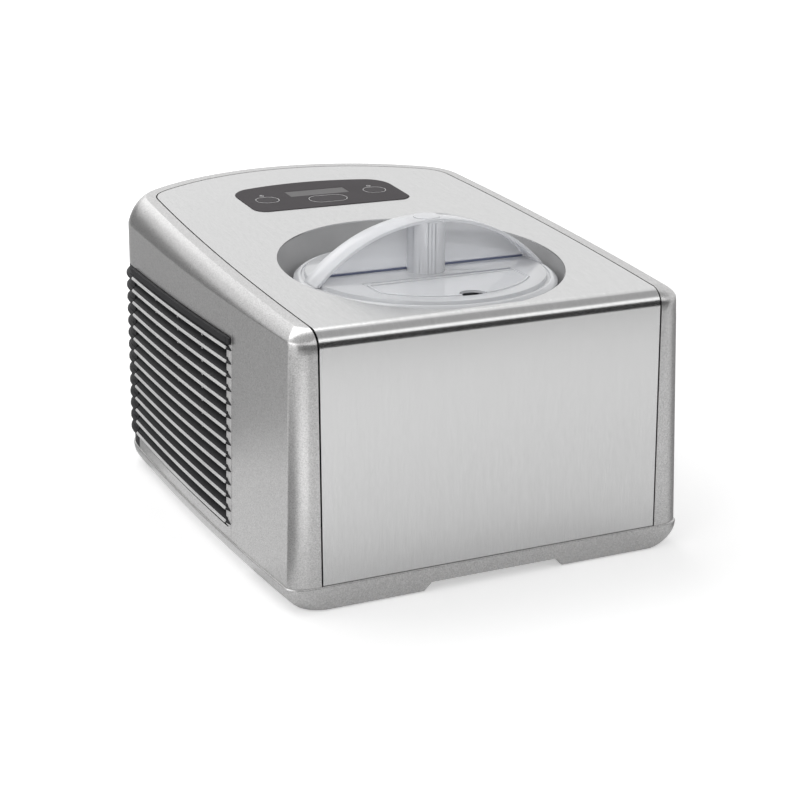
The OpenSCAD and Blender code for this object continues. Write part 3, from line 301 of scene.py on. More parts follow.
class Nodes:
    """Adds and joins the nodes of one material."""

    def __init__(self, name: str) -> None:
        """Starts a material that has its principled shader and output.

        Args:
            name: The material's name.
        """
        self.material = bpy.data.materials.new(name)
        self.material.use_nodes = True
        self.tree = self.material.node_tree
        self.shader = self.tree.nodes["Principled BSDF"]
        self.output = self.tree.nodes["Material Output"]

    def add(self, kind: str, settings: dict[str, object] | None = None, **inputs: object) -> bpy.types.Node:
        """Adds a node.

        Args:
            kind: The node's type name.
            settings: Properties to set on it.
            inputs: Input values or sockets to join, by name with _ for a space.

        Returns:
            The new node.
        """
        node = self.tree.nodes.new(kind)
        for key, value in (settings or {}).items():
            setattr(node, key, value)
        for key, value in inputs.items():
            self.put(node, key.replace("_", " "), value)
        return node

    def put(self, node: bpy.types.Node, key: str | int, value: object) -> None:
        """Sets an input to a value, or joins it to a socket.

        Args:
            node: The node.
            key: The input's name or number.
            value: The value, or the socket to join.
        """
        if isinstance(value, bpy.types.NodeSocket):
            self.tree.links.new(value, node.inputs[key])
        else:
            node.inputs[key].default_value = value

    def place(self, scale: tuple[float, float, float]) -> bpy.types.NodeSocket:
        """Object coordinates stretched on each axis.

        Args:
            scale: The stretch on X, Y and Z.

        Returns:
            The vector's socket.
        """
        where = self.add("ShaderNodeTexCoord")
        mapping = self.add("ShaderNodeMapping", Vector=where.outputs["Object"], Scale=scale)
        return mapping.outputs["Vector"]

    def noise(self, vector: bpy.types.NodeSocket, scale: float, detail: float = 2.0) -> bpy.types.NodeSocket:
        """A noise value between 0 and 1."""
        node = self.add("ShaderNodeTexNoise", Vector=vector, Scale=scale, Detail=detail)
        return node.outputs["Fac"]

    def ramp(
        self, value: bpy.types.NodeSocket, stops: Sequence[tuple[float, Sequence[float]]]
    ) -> bpy.types.NodeSocket:
        """A colour ramp over a value.

        Args:
            value: What the ramp reads.
            stops: Places and colours.

        Returns:
            The colour's socket.
        """
        node = self.add("ShaderNodeValToRGB", Fac=value)
        marks = node.color_ramp.elements
        while len(marks) < len(stops):
            marks.new(0.5)
        for mark, (at, colour) in zip(marks, stops):
            mark.position = at
            mark.color = (*colour, 1.0)
        return node.outputs["Color"]

    def spread(self, value: bpy.types.NodeSocket, low: float, high: float) -> bpy.types.NodeSocket:
        """Maps 0..1 to a range of numbers.

        Args:
            value: What is mapped.
            low: Result for 0.
            high: Result for 1.

        Returns:
            The result's socket.
        """
        node = self.add("ShaderNodeMapRange", Value=value)
        node.inputs["To Min"].default_value = low
        node.inputs["To Max"].default_value = high
        return node.outputs["Result"]

    def bump(self, height: bpy.types.NodeSocket, strength: float, distance: float) -> None:
        """Joins a bump to the shader's normal."""
        node = self.add("ShaderNodeBump", Height=height, Strength=strength, Distance=distance)
        self.put(self.shader, "Normal", node.outputs["Normal"])


def grey(level: float, tint: tuple[float, float, float] = (1.0, 1.0, 1.0)) -> tuple[float, float, float]:
    """A grey of that level with a slight tint."""
    return (level * tint[0], level * tint[1], level * tint[2])


@dataclass(frozen=True)
class SpecklePaint:
    """Silver paint with fine flakes, as on the moulded body."""

    name: str = "silver_speckle_paint"
    level: float = 0.56
    contrast: float = 0.22
    roughness: float = 0.3
    metallic: float = 0.85

    def material(self) -> bpy.types.Material:
        """Builds the material.

        Returns:
            The new material.
        """
        n = Nodes(self.name)
        where = n.place((1.0, 1.0, 1.0))
        fine = n.noise(where, 1500.0, 2.0)
        flakes = n.add("ShaderNodeTexVoronoi", Vector=where, Scale=1700.0).outputs["Color"]
        mix = n.add("ShaderNodeMix", {"data_type": "FLOAT"})
        n.put(mix, 0, 0.5)
        n.put(mix, 2, fine)
        n.put(mix, 3, flakes)
        low = grey(self.level * (1.0 - self.contrast), (1.0, 0.993, 0.99))
        high = grey(self.level * (1.0 + self.contrast), (1.0, 0.993, 0.99))
        n.put(n.shader, "Base Color", n.ramp(mix.outputs[0], [(0.25, low), (0.75, high)]))
        n.put(n.shader, "Roughness", n.spread(fine, self.roughness - 0.07, self.roughness + 0.07))
        n.put(n.shader, "Metallic", self.metallic)
        n.bump(mix.outputs[0], 0.12, 0.0002)
        return n.material


@dataclass(frozen=True)
class BrushedSheet:
    """Steel sheet whose grain runs along the fold's profile, from the foot up and then back."""

    name: str = "brushed_steel_sheet"
    level: float = 0.63
    roughness: float = 0.25
    anisotropy: float = 0.75

    def material(self) -> bpy.types.Material:
        """Builds the material.

        Returns:
            The new material.
        """
        n = Nodes(self.name)
        fine = n.noise(n.place((1900.0, 150.0, 150.0)), 1.0, 3.0)
        broad = n.noise(n.place((500.0, 30.0, 30.0)), 1.0, 3.0)
        mix = n.add("ShaderNodeMix", {"data_type": "FLOAT"})
        n.put(mix, 0, 0.25)
        n.put(mix, 2, fine)
        n.put(mix, 3, broad)
        value = mix.outputs[0]
        stops = [(0.3, grey(self.level * 0.93)), (0.7, grey(self.level * 1.05))]
        n.put(n.shader, "Base Color", n.ramp(value, stops))
        n.put(n.shader, "Metallic", 1.0)
        n.put(n.shader, "Roughness", n.spread(value, self.roughness - 0.04, self.roughness + 0.04))
        n.put(n.shader, "Anisotropic", self.anisotropy)
        n.put(n.shader, "Anisotropic Rotation", 0.25)
        grain = n.add("ShaderNodeTangent", {"direction_type": "RADIAL", "axis": "X"})
        n.put(n.shader, "Tangent", grain.outputs["Tangent"])
        n.bump(value, 0.2, 0.00004)
        return n.material


@dataclass(frozen=True)
class Moulding:
    """Moulded plastic, painted metal or rubber with a fine grain."""

    name: str
    colour: tuple[float, float, float]
    roughness: float = 0.4
    grain: float = 0.1
    scale: float = 1400.0
    metallic: float = 0.0
    coat: float = 0.0
    gloss: float = 0.5

    def material(self) -> bpy.types.Material:
        """Builds the material.

        Returns:
            The new material.
        """
        n = Nodes(self.name)
        where = n.place((1.0, 1.0, 1.0))
        fine = n.noise(where, self.scale, 2.0)
        broad = n.noise(where, 35.0, 3.0)
        low = tuple(c * (1.0 - self.grain) for c in self.colour)
        high = tuple(min(1.0, c * (1.0 + self.grain)) for c in self.colour)
        n.put(n.shader, "Base Color", n.ramp(broad, [(0.3, low), (0.7, high)]))
        n.put(n.shader, "Roughness", n.spread(fine, self.roughness - 0.05, self.roughness + 0.05))
        n.put(n.shader, "Metallic", self.metallic)
        n.put(n.shader, "Specular IOR Level", self.gloss)
        n.put(n.shader, "Coat Weight", self.coat)
        n.put(n.shader, "Coat Roughness", 0.08)
        n.bump(fine, 0.15, 0.0001)
        return n.material


@dataclass(frozen=True)
class SpunMetal:
    """Aluminium or steel with fine rings round an upright axis, in millimetres."""

    name: str
    axis: Flat
    colour: tuple[float, float, float] = (0.75, 0.76, 0.78)
    roughness: float = 0.3

    def material(self) -> bpy.types.Material:
        """Builds the material.

        Returns:
            The new material.
        """
        n = Nodes(self.name)
        where = n.add("ShaderNodeTexCoord").outputs["Object"]
        back = (-self.axis[0] * MM, -self.axis[1] * MM, 0.0)
        centred = n.add("ShaderNodeMapping", Vector=where, Location=back)
        rings = n.add(
            "ShaderNodeTexWave",
            {"wave_type": "RINGS", "rings_direction": "Z", "wave_profile": "SIN"},
            Vector=centred.outputs["Vector"],
            Scale=260.0,
            Distortion=2.0,
            Detail=3.0,
        ).outputs["Fac"]
        low = tuple(c * 0.93 for c in self.colour)
        n.put(n.shader, "Base Color", n.ramp(rings, [(0.2, low), (0.8, self.colour)]))
        n.put(n.shader, "Metallic", 1.0)
        n.put(n.shader, "Roughness", n.spread(rings, self.roughness - 0.04, self.roughness + 0.06))
        n.bump(rings, 0.1, 0.00005)
        return n.material


@dataclass(frozen=True)
class ClearMoulding:
    """Clear moulded plastic with faint ripples."""

    name: str = "clear_plastic"
    colour: tuple[float, float, float] = (0.95, 0.96, 0.985)
    roughness: float = 0.03
    clearness: float = 0.55
    alpha: float = 0.75
    ior: float = 1.49

    def material(self) -> bpy.types.Material:
        """Builds the material.

        Returns:
            The new material.
        """
        n = Nodes(self.name)
        ripple = n.noise(n.place((1.0, 1.0, 1.0)), 60.0, 2.0)
        n.put(n.shader, "Base Color", (*self.colour, 1.0))
        n.put(n.shader, "Transmission Weight", self.clearness)
        n.put(n.shader, "Alpha", self.alpha)
        n.put(n.shader, "IOR", self.ior)
        n.put(n.shader, "Roughness", n.spread(ripple, self.roughness, self.roughness + 0.03))
        n.bump(ripple, 0.04, 0.0004)
        return n.material


class Wardrobe:
    """Every finish of the machine, each made once."""

    def __init__(self, axis: Flat) -> None:
        """Builds the finishes.

        Args:
            axis: Where the bowl's centre line stands.
        """
        self.paint = SpecklePaint().material()
        self.steel = BrushedSheet().material()
        self.black = Moulding("black_grille_plastic", (0.026, 0.026, 0.028), 0.5, 0.15, gloss=0.15).material()
        # Painted highlight: light grey on the black fins' lips, standing in for the light they catch.
        self.painted_fin_highlight = Moulding("fin_lip_painted_highlight", (0.66, 0.66, 0.66), 0.4, 0.08).material()
        # Painted light: the ribs are a lighter grey than the black fins, standing in for the light they
        # catch.
        self.rib = Moulding("grille_rib_painted_light", (0.4, 0.4, 0.405), 0.5, 0.15).material()
        self.light_strip = SpecklePaint("light_silver_paint", 0.62, 0.1, 0.45, 0.2).material()
        self.recess = Moulding("recess_grey_plastic", (0.36, 0.36, 0.365), 0.36, 0.05).material()
        self.panel = Moulding("panel_dark_plastic", (0.066, 0.06, 0.064), 0.42, 0.05, gloss=0.03).material()
        self.key = Moulding("key_dark_plastic", (0.074, 0.068, 0.072), 0.4, 0.05, gloss=0.03).material()
        self.window = Moulding("display_window", (0.14, 0.136, 0.137), 0.3, 0.04, gloss=0.06).material()
        self.module = Moulding("display_module", (0.3, 0.33, 0.3), 0.4).material()
        self.ink = Moulding("white_ink", (0.8, 0.8, 0.8), 0.5, 0.03).material()
        self.clear = ClearMoulding("clear_plastic", clearness=0.28, alpha=0.9).material()
        self.clear_web = ClearMoulding("thin_clear_plastic", clearness=0.5, alpha=0.6).material()
        # Painted refraction: a dark bluish opaque finish for the line at the lid web's root, where the clear
        # plastic looks dark edge-on.
        self.painted_dark_refraction = Moulding("web_root_painted_refraction", (0.16, 0.18, 0.27), 0.25, 0.05).material()
        self.rubber = Moulding("rubber", (0.02, 0.02, 0.02), 0.75, 0.2).material()
        self.bowl = SpunMetal("spun_aluminium", axis).material()
        self.fin_metal = Moulding("bare_aluminium", (0.6, 0.61, 0.62), 0.35, 0.06, metallic=1.0).material()
        self.copper = Moulding("copper_tube", (0.72, 0.36, 0.2), 0.3, 0.12, metallic=1.0).material()
        self.foam = Moulding("dark_foam", (0.03, 0.03, 0.03), 0.9, 0.3, 500.0).material()
        self.enamel = Moulding("black_enamel", (0.012, 0.012, 0.014), 0.28, 0.2, coat=0.3).material()
        self.plated = Moulding("plated_steel", (0.5, 0.5, 0.52), 0.35, 0.08, metallic=1.0).material()
        self.white = Moulding("white_plastic", (0.78, 0.78, 0.76), 0.38, 0.03).material()
        self.gearbox = Moulding("gearbox_plastic", (0.06, 0.06, 0.065), 0.5, 0.15).material()
        self.board = Moulding("circuit_board", (0.015, 0.09, 0.04), 0.35, 0.15, coat=0.2).material()


# ---------------------------------------------------------------- body plan


class Kind(Enum):
    """The stretch of the body's outline that a station lies on."""

    STRIP = "strip"
    ROUND = "round"
    SIDE = "side"
    CORNER = "corner"
    REAR = "rear"


@dataclass(frozen=True)
class Station:
    """A place along the body's outline: its stretch, and how far along it."""

    kind: Kind
    at: float


@dataclass(frozen=True)
class BodyPlan:
    """The moulded body's plan and levels, in millimetres."""

    width: float = 304.0
    depth: float = 395.0
    front_height: float = 187.0
    slope_deg: float = 4.5
    seam_z: float = 17.8
    strip: float = 8.6
    roll: float = 9.0
    roll_front: float = 6.7
    roll_back: float = 21.5
    draft: float = 4.8
    lip: float = 6.3
    lean: float = 5.5
    bend: float = 12.0
    rear_bump: float = 8.0
    seam_gap: float = 1.0
    side_r: float = 2600.0
    rear_r: float = 205.0
    corner_r: float = 25.0
    round_w: float = 12.4
    round_d: float = 7.6
    grille_front: float = 98.0
    grille_end: float = 300.0
    grille_low: float = 25.8
    grille_high: float = 162.0
    bulge: float = 0.45

    @property
    def edge(self) -> float:
        """Distance in plan from the steel sheet's edge to the body's foot."""
        return self.strip + self.roll + self.draft

    @property
    def slope(self) -> float:
        """Rise of the top for each millimetre back."""
        return math.tan(math.radians(self.slope_deg))

    @property
    def front_y(self) -> float:
        """Where the front panel's plane meets the top's."""
        return -self.depth / 2 + self.lip

    @property
    def seam_back(self) -> float:
        """Rear end of the steel top."""
        return self.depth / 2 - self.rear_bump - self.edge

    @property
    def length(self) -> float:
        """Length of the steel top in plan."""
        return self.seam_back - self.front_y

    @property
    def side_c(self) -> Flat:
        """Centre of the long side arc."""
        return (self.width / 2 - self.edge - self.side_r, self.front_y + self.length / 3)

    @property
    def rear_c(self) -> Flat:
        """Centre of the rear arc."""
        return (0.0, self.seam_back - self.rear_r)

    @property
    def corner_c(self) -> Flat:
        """Centre of the corner arc, which touches the side arc and the rear arc.

        Returns:
            x and y in millimetres.
        """
        a, b = Vector(self.side_c), Vector(self.rear_c)
        ra, rb = self.side_r - self.corner_r, self.rear_r - self.corner_r
        gap = (b - a).length
        u = (b - a) / gap
        s = (ra * ra - rb * rb + gap * gap) / (2 * gap)
        h = math.sqrt(ra * ra - s * s)
        return (a.x + u.x * s - u.y * h, a.y + u.y * s + u.x * h)

    @property
    def side_end(self) -> float:
        """Angle at which the side arc meets the corner arc, in radians."""
        c, s = self.corner_c, self.side_c
        return math.atan2(c[1] - s[1], c[0] - s[0])

    @property
    def rear_end(self) -> float:
        """Angle at which the rear arc meets the corner arc, in radians."""
        c, r = self.corner_c, self.rear_c
        return math.atan2(c[1] - r[1], c[0] - r[0])

    def half_at(self, y: float, d: float) -> float:
        """Half width at a place y of the outline offset by d."""
        return self.side_c[0] + math.sqrt((self.side_r + d) ** 2 - (y - self.side_c[1]) ** 2)

    def top_z(self, y: float) -> float:
        """Height of the top plane at y."""
        return self.front_height + self.slope * (y - self.front_y)

    def roll_h(self, y: float) -> float:
        """Height of the rolled edge at y."""
        return self.roll_front + (self.roll_back - self.roll_front) * (y - self.front_y) / self.length

    def front_at(self, drop: float) -> float:
        """Place of the front face at a drop below the top's plane.

        Args:
            drop: The drop in millimetres.

        Returns:
            y in millimetres.
        """
        if drop < self.bend:
            return self.front_y + self.bend - math.sqrt(max(0.0, self.bend**2 - (self.bend - drop) ** 2))
        fall = self.front_height - self.bend - self.seam_z
        return self.front_y - self.lean * (drop - self.bend) / fall

    def side_d(self, z: float) -> float:
        """Offset of the side's front end at a height."""
        return self.edge - self.draft_at(z)

    def bead_out(self, t: float) -> float:
        """Share of the bead's width at t, from 0 at the crease to 1 at the strip."""
        return (1.0 - t) ** 2 + t * (1.0 - t) * (1.0 + self.bulge)

    def bead_down(self, t: float) -> float:
        """Share of the bead's height at t."""
        return (1.0 - t) ** 2 + t * (1.0 - t) * (1.0 - self.bulge)

    def bead_at(self, share: float) -> float:
        """The t at which the bead has a share of its width."""
        b = self.bulge
        return (b - 1.0 + math.sqrt((1.0 - b) ** 2 + 4.0 * b * (1.0 - share))) / (2.0 * b)

    def spread(self, y: float) -> float:
        """How far the side has spread at y, from 0 at the front to 1 at the corner.

        Args:
            y: The place in millimetres.

        Returns:
            The share.
        """
        start = self.front_y + self.round_d
        end = self.side_c[1] + self.side_r * math.sin(self.side_end)
        return min(1.0, max(0.0, (y - start) / (end - start)))

    def place(
        self, spot: Station, d: float, y0: float, inner: float | None = None, grow: float = 0.0
    ) -> Flat:
        """The plan point of a station.

        Args:
            spot: The station on the right half of the outline.
            d: Offset of the outline at the front.
            y0: Where the front face is at this level.
            inner: Offset at which the strip beside the steel begins, or None to begin in the middle.
            grow: How much more the offset is from the corner on.

        Returns:
            x and y in millimetres.
        """
        if spot.kind in (Kind.STRIP, Kind.ROUND):
            cx = self.half_at(y0 + self.round_d, d) - self.round_w
            edge = 0.0 if inner is None else self.half_at(y0 + self.round_d, inner)
            if spot.kind is Kind.STRIP and cx >= edge:
                return (edge + (cx - edge) * spot.at, y0)
            start = self.bead_at(min(1.0, max(0.0, (edge - cx) / self.round_w)))
            t = start if spot.kind is Kind.STRIP else start * (1.0 - spot.at)
            return (cx + self.round_w * self.bead_out(t), y0 + self.round_d * self.bead_down(t))
        if spot.kind is Kind.SIDE:
            fade = max(0.0, 1.0 - (spot.at - self.round_d) / 60.0)
            y = self.front_y + spot.at + (y0 - self.front_y) * fade
            return (self.half_at(y, d + grow * self.spread(y)), y)
        if spot.kind is Kind.CORNER:
            a = self.side_end + (self.rear_end - self.side_end) * spot.at
            r, c = self.corner_r + d + grow, self.corner_c
        else:
            a = self.rear_end + (math.pi / 2 - self.rear_end) * spot.at
            r, c = self.rear_r + d + grow, self.rear_c
        return (c[0] + r * math.cos(a), c[1] + r * math.sin(a))

    def draft_at(self, z: float) -> float:
        """How far the front of the side is drawn in at a height, which the corner is not."""
        return self.draft * (z - self.seam_z) / (self.front_height - self.seam_z)

    def stations(self, strip: Sequence[float], side: Sequence[float]) -> list[Station]:
        """Stations from the front to the middle of the rear.

        Args:
            strip: Places along the front's straight part, from 0 to 1.
            side: Distances back from the fold, in millimetres.

        Returns:
            The stations in order.
        """
        spots = [Station(Kind.STRIP, t) for t in strip]
        spots += [Station(Kind.ROUND, k / 12) for k in range(1, 12)]
        spots += [Station(Kind.SIDE, s) for s in side]
        spots += [Station(Kind.CORNER, k / 16) for k in range(17)]
        spots += [Station(Kind.REAR, k / 28) for k in range(1, 29)]
        return spots

    @staticmethod
    def both_sides(right: Sequence[Point]) -> list[Point]:
        """Adds the mirrored left half to a right half that ends in the rear's middle."""
        return list(right) + [(-x, y, z) for x, y, z in reversed(right[:-1])]


# ---------------------------------------------------------------- housing


@dataclass
class MouldedShell:
    """The silver shell: side walls, the slanted bead above its crease, and the strip beside the steel."""

    plan: BodyPlan
    wall: float = 2.5
    groove_at: float = 93.0
    groove_depth: float = 0.5
    wall_levels: Sequence[float] = (17.8, 18.3, 20.0, 25.8, 48, 80, 112, 144, 156, 162, 163.2, 166)
    crease_levels: Sequence[float] = (8, 4, 1.6, 0.6)
    bead_levels: Sequence[float] = (0, 0.05, 0.12, 0.2, 0.3, 0.4, 0.5, 0.6, 0.7, 0.8, 0.88, 0.94, 0.98, 1.0)
    strip_levels: Sequence[float] = (0.04, 0.14, 0.5, 0.93, 1.0)

    def wall_point(self, spot: Station, d: float, grow: float, y0: float, z: float) -> Point:
        """A point of the wall, moved in where the fine groove ahead of the grille runs.

        Args:
            spot: The station.
            d: Offset of the outline at the front.
            grow: How much more the offset is from the corner on.
            y0: Where the front face is at this level.
            z: The level.

        Returns:
            The point in millimetres.
        """
        p = self.plan
        if spot.kind is Kind.SIDE and abs(spot.at - self.groove_at) < 0.1 and z < p.grille_high + 0.2:
            d -= self.groove_depth
        x, y = p.place(spot, d, y0, p.seam_gap, grow)
        return (x, y, z)

    def wall_ring(self, z: float, spot: Station) -> Point:
        """A point of the wall's ring at one height.

        Args:
            z: The ring's height.
            spot: The station.

        Returns:
            The point in millimetres.
        """
        p = self.plan
        return self.wall_point(spot, p.side_d(z), p.draft_at(z), p.front_at(p.front_height - z), z)

    def crease_ring(self, k: float, spot: Station) -> Point:
        """A point of a ring below the crease.

        Args:
            k: Millimetres below the crease.
            spot: The station.

        Returns:
            The point in millimetres.
        """
        p = self.plan
        fall = p.front_height - p.seam_z
        d = p.strip + p.roll + p.draft * k / fall
        y0 = p.front_at(p.roll_front + k)
        grow = p.draft * (1.0 - k / fall)
        y = p.place(spot, d, y0, p.seam_gap, grow)[1]
        return self.wall_point(spot, d, grow, y0, p.top_z(y) - p.roll_h(y) - k)

    def bead_ring(self, t: float, spot: Station) -> Point:
        """A point of a ring round the bead.

        Args:
            t: 0 at the crease and 1 at the strip.
            spot: The station.

        Returns:
            The point in millimetres.
        """
        p = self.plan
        out, down = p.bead_out(t), p.bead_down(t)
        y0 = p.front_at(p.roll_front * down)
        x, y = p.place(spot, p.strip + p.roll * out, y0, p.seam_gap, p.draft * out)
        return (x, y, p.top_z(y) - p.roll_h(y) * down)

    def strip_ring(self, t: float, spot: Station) -> Point:
        """A point of a ring across the flat strip beside the steel.

        Args:
            t: 0 at the bead and 1 at the seam.
            spot: The station.

        Returns:
            The point in millimetres.
        """
        p = self.plan
        x, y = p.place(spot, p.strip, p.front_at(0.0), p.seam_gap)
        if spot.kind in (Kind.STRIP, Kind.ROUND, Kind.SIDE):
            x2, y2 = p.half_at(y, p.seam_gap), y
        else:
            x2, y2 = p.place(spot, p.seam_gap, 0.0)
        x, y = x + (x2 - x) * t, y + (y2 - y) * t
        return (x, y, p.top_z(y))

    def levels(self) -> list[Callable[[Station], Point]]:
        """The rings of the shell from its foot to the seam beside the steel.

        Returns:
            For each ring, a function that gives its point at a station.
        """
        rings = [partial(self.wall_ring, z) for z in self.wall_levels]
        rings += [partial(self.crease_ring, k) for k in self.crease_levels]
        rings += [partial(self.bead_ring, t) for t in self.bead_levels]
        rings += [partial(self.strip_ring, t) for t in self.strip_levels]
        return rings

    def build(self, looks: Wardrobe) -> bpy.types.Object:
        """Builds the shell in the place of its CAD node.

        Args:
            looks: The finishes.

        Returns:
            The shell.
        """
        p = self.plan
        side = [7.6, 8.1, 9.0, 11, 15, 22, 33, 48, 66, 80, 91]
        side += [92.65, 93.0, 93.35, 95, 98, 108, 125, 150, 175, 200, 225, 250, 275, 300, 303.5]
        spots = p.stations((0.0, 0.06, 0.5, 0.94), side)
        levels = self.levels()
        points: list[Point] = []
        for level in levels:
            points += p.both_sides([level(s) for s in spots])
        count = 2 * len(spots) - 1
        faces = []
        for face in ring_faces(count, len(levels), closed=False):
            xs, ys, zs = zip(*(points[k] for k in face))
            y, z = sum(ys) / 4 - p.front_y, sum(zs) / 4
            in_grille = p.grille_front < y <= p.grille_end and p.grille_low < z < p.grille_high
            in_rear = y > p.grille_end and z < p.grille_high
            if not (in_grille or in_rear):
                faces.append(face)
        shell = make_piece("moulded_shell", points, faces, looks.paint, weld=0.005, outward=False)
        thicken(shell, self.wall)
        shade(shell, 40.0)
        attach(shell, "housing")
        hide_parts("outer_shell")
        return report(shell)


@dataclass
class FloorTray:
    """The silver base tray, with its turned-in foot and the arch under the front."""

    plan: BodyPlan
    proud: float = 1.0
    arch_w: float = 111.0
    arch_h: float = 7.0
    arch_slant: float = 7.5

    def build(self, looks: Wardrobe) -> bpy.types.Object:
        """Builds the tray in the place of its CAD node.

        Args:
            looks: The finishes.

        Returns:
            The tray.
        """
        p = self.plan
        front = p.front_y - p.lip
        spots = p.stations((0.0, 1.0), [7.6, 12, 20, 35, 60, 100, 150, 200, 250, 290])
        out = p.edge + self.proud
        # Each row is an inset from the outline, a further one at the front, and a height.
        rows = [
            (18.0, 4.0, 7.5), (18.0, 4.0, 1.0), (14.0, 1.2, 1.0), (12.4, 0.6, 1.35), (10.2, 0.3, 2.4),
            (8.0, 0.15, 3.8), (5.6, 0.0, 5.6), (3.5, 0.0, 7.6), (1.9, 0.0, 9.6), (0.9, 0.0, 11.6),
            (0.35, 0.0, 13.8), (0.0, 0.0, 16.4), (0.05, 0.05, 17.0), (0.25, 0.25, 17.5), (0.6, 0.6, 17.75),
            (1.1, 1.1, 17.8), (6.0, 6.0, 17.8), (6.0, 6.0, 10.0),
        ]
        points: list[Point] = []
        for inset, front_in, z in rows:
            right = [(*p.place(s, out - inset, front + front_in), z) for s in spots]
            points += right + [(-x, y, level) for x, y, level in reversed(right[1:-1])]
        faces = capped_faces(2 * len(spots) - 2, len(rows))
        tray = make_piece("floor_tray", points, faces, looks.paint, weld=0.001)
        half = self.arch_w / 2
        top = half - self.arch_slant
        outline = [(-half, -1.0), (half, -1.0), (top, self.arch_h), (-top, self.arch_h)]
        arch = make_piece(
            "arch_cutter",
            [(x, y, z) for y in (front - 2.0, front + 30.0) for x, z in outline],
            [(0, 1, 2, 3), (7, 6, 5, 4), (0, 4, 5, 1), (1, 5, 6, 2), (2, 6, 7, 3), (3, 7, 4, 0)],
            looks.paint,
            weld=0.001,
        )
        carve(tray, [arch])
        shade(tray, 35.0)
        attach(tray, "housing")
        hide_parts("base_tray")
        return report(tray)


@dataclass
class SteelSheet:
    """The folded steel front and top, with the holes for the recess and the control panel."""

    plan: BodyPlan
    sheet: float = 1.0
    hole_r: float = 100.7
    hole_back: float = 110.3

    def on_top(self, x: float, back: float, up: float = 0.0) -> Point:
        """A point in the frame of the sloping top.

        Args:
            x: Distance across.
            back: Distance back along the slope.
            up: Distance up from the slope.

        Returns:
            The point in millimetres.
        """
        p = self.plan
        a = math.radians(p.slope_deg)
        y = p.front_y + back * math.cos(a) - up * math.sin(a)
        return (x, y, p.front_height + back * math.sin(a) + up * math.cos(a))

    def build(self, looks: Wardrobe, panel_hole: Sequence[Flat]) -> bpy.types.Object:
        """Builds the sheet in the place of its CAD node.

        Args:
            looks: The finishes.
            panel_hole: Outline of the control panel's opening, in the frame of the sloping top.

        Returns:
            The sheet.
        """
        p = self.plan
        a0 = math.radians(90.0 + p.slope_deg)
        fold_z = p.front_height - p.bend + p.slope * p.bend
        path = [(p.front_y - p.lean, p.seam_z + 0.4), (p.front_y - p.lean * 0.5, (p.seam_z + fold_z) / 2)]
        path += [(p.front_y - 0.05, fold_z - 1.2)]
        for k in range(29):
            a = math.pi + (a0 - math.pi) * k / 28
            path.append((p.front_y + p.bend + p.bend * math.cos(a), fold_z + p.bend * math.sin(a)))
        y_end = path[-1][0]
        y_flat = y_end + 1.5
        path.append((y_flat, p.top_z(y_flat)))
        fractions = [-1.0, -0.992] + [k / 6 for k in range(-5, 6)] + [0.992, 1.0]
        points = [(f * p.half_at(max(y, p.front_y), 0.0), y, z) for y, z in path for f in fractions]
        faces: list[Sequence[int]] = ring_faces(len(fractions), len(path), closed=False)
        side = [y_flat + (300.0 + p.front_y - y_flat) * k / 14 for k in range(15)]
        right = [(p.half_at(y, 0.0), y) for y in side]
        right += [p.place(Station(Kind.CORNER, k / 16), 0.0, 0.0) for k in range(17)]
        right += [p.place(Station(Kind.REAR, k / 24), 0.0, 0.0) for k in range(1, 25)]
        front_row = [(f * p.half_at(y_flat, 0.0), y_flat) for f in fractions[1:-1]]
        rim = front_row + right + [(-x, y) for x, y in reversed(right[:-1])]
        hole = arc_points((0.0, self.hole_back), self.hole_r, 0.0, 360.0, 160)[:-1]
        loops = [
            [(x, y, p.top_z(y)) for x, y in rim],
            [self.on_top(x, y) for x, y in hole],
            [self.on_top(x, y) for x, y in panel_hole],
        ]
        work = bmesh.new()
        for x, y, z in points:
            work.verts.new((x * MM, y * MM, z * MM))
        work.verts.ensure_lookup_table()
        for face in faces:
            work.faces.new([work.verts[k] for k in face])
        edges = []
        for loop in loops:
            verts = [work.verts.new((x * MM, y * MM, z * MM)) for x, y, z in loop]
            edges += [work.edges.new((verts[k], verts[(k + 1) % len(verts)])) for k in range(len(verts))]
        bmesh.ops.triangle_fill(
            work, use_beauty=True, use_dissolve=False, edges=edges, normal=(0.0, 0.0, 1.0)
        )
        bmesh.ops.remove_doubles(work, verts=work.verts, dist=0.00002)
        for face in work.faces:
            face.normal_update()
            if face.normal.z < -0.2 or (abs(face.normal.z) <= 0.2 and face.normal.y > 0.0):
                face.normal_flip()
        mesh = bpy.data.meshes.new("folded_steel_sheet")
        work.to_mesh(mesh)
        work.free()
        sheet = bpy.data.objects.new("folded_steel_sheet", mesh)
        bpy.context.scene.collection.objects.link(sheet)
        mesh.materials.append(looks.steel)
        thicken(sheet, self.sheet)
        shade(sheet, 25.0)
        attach(sheet, "housing")
        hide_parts("front_top_panel")
        return report(sheet)


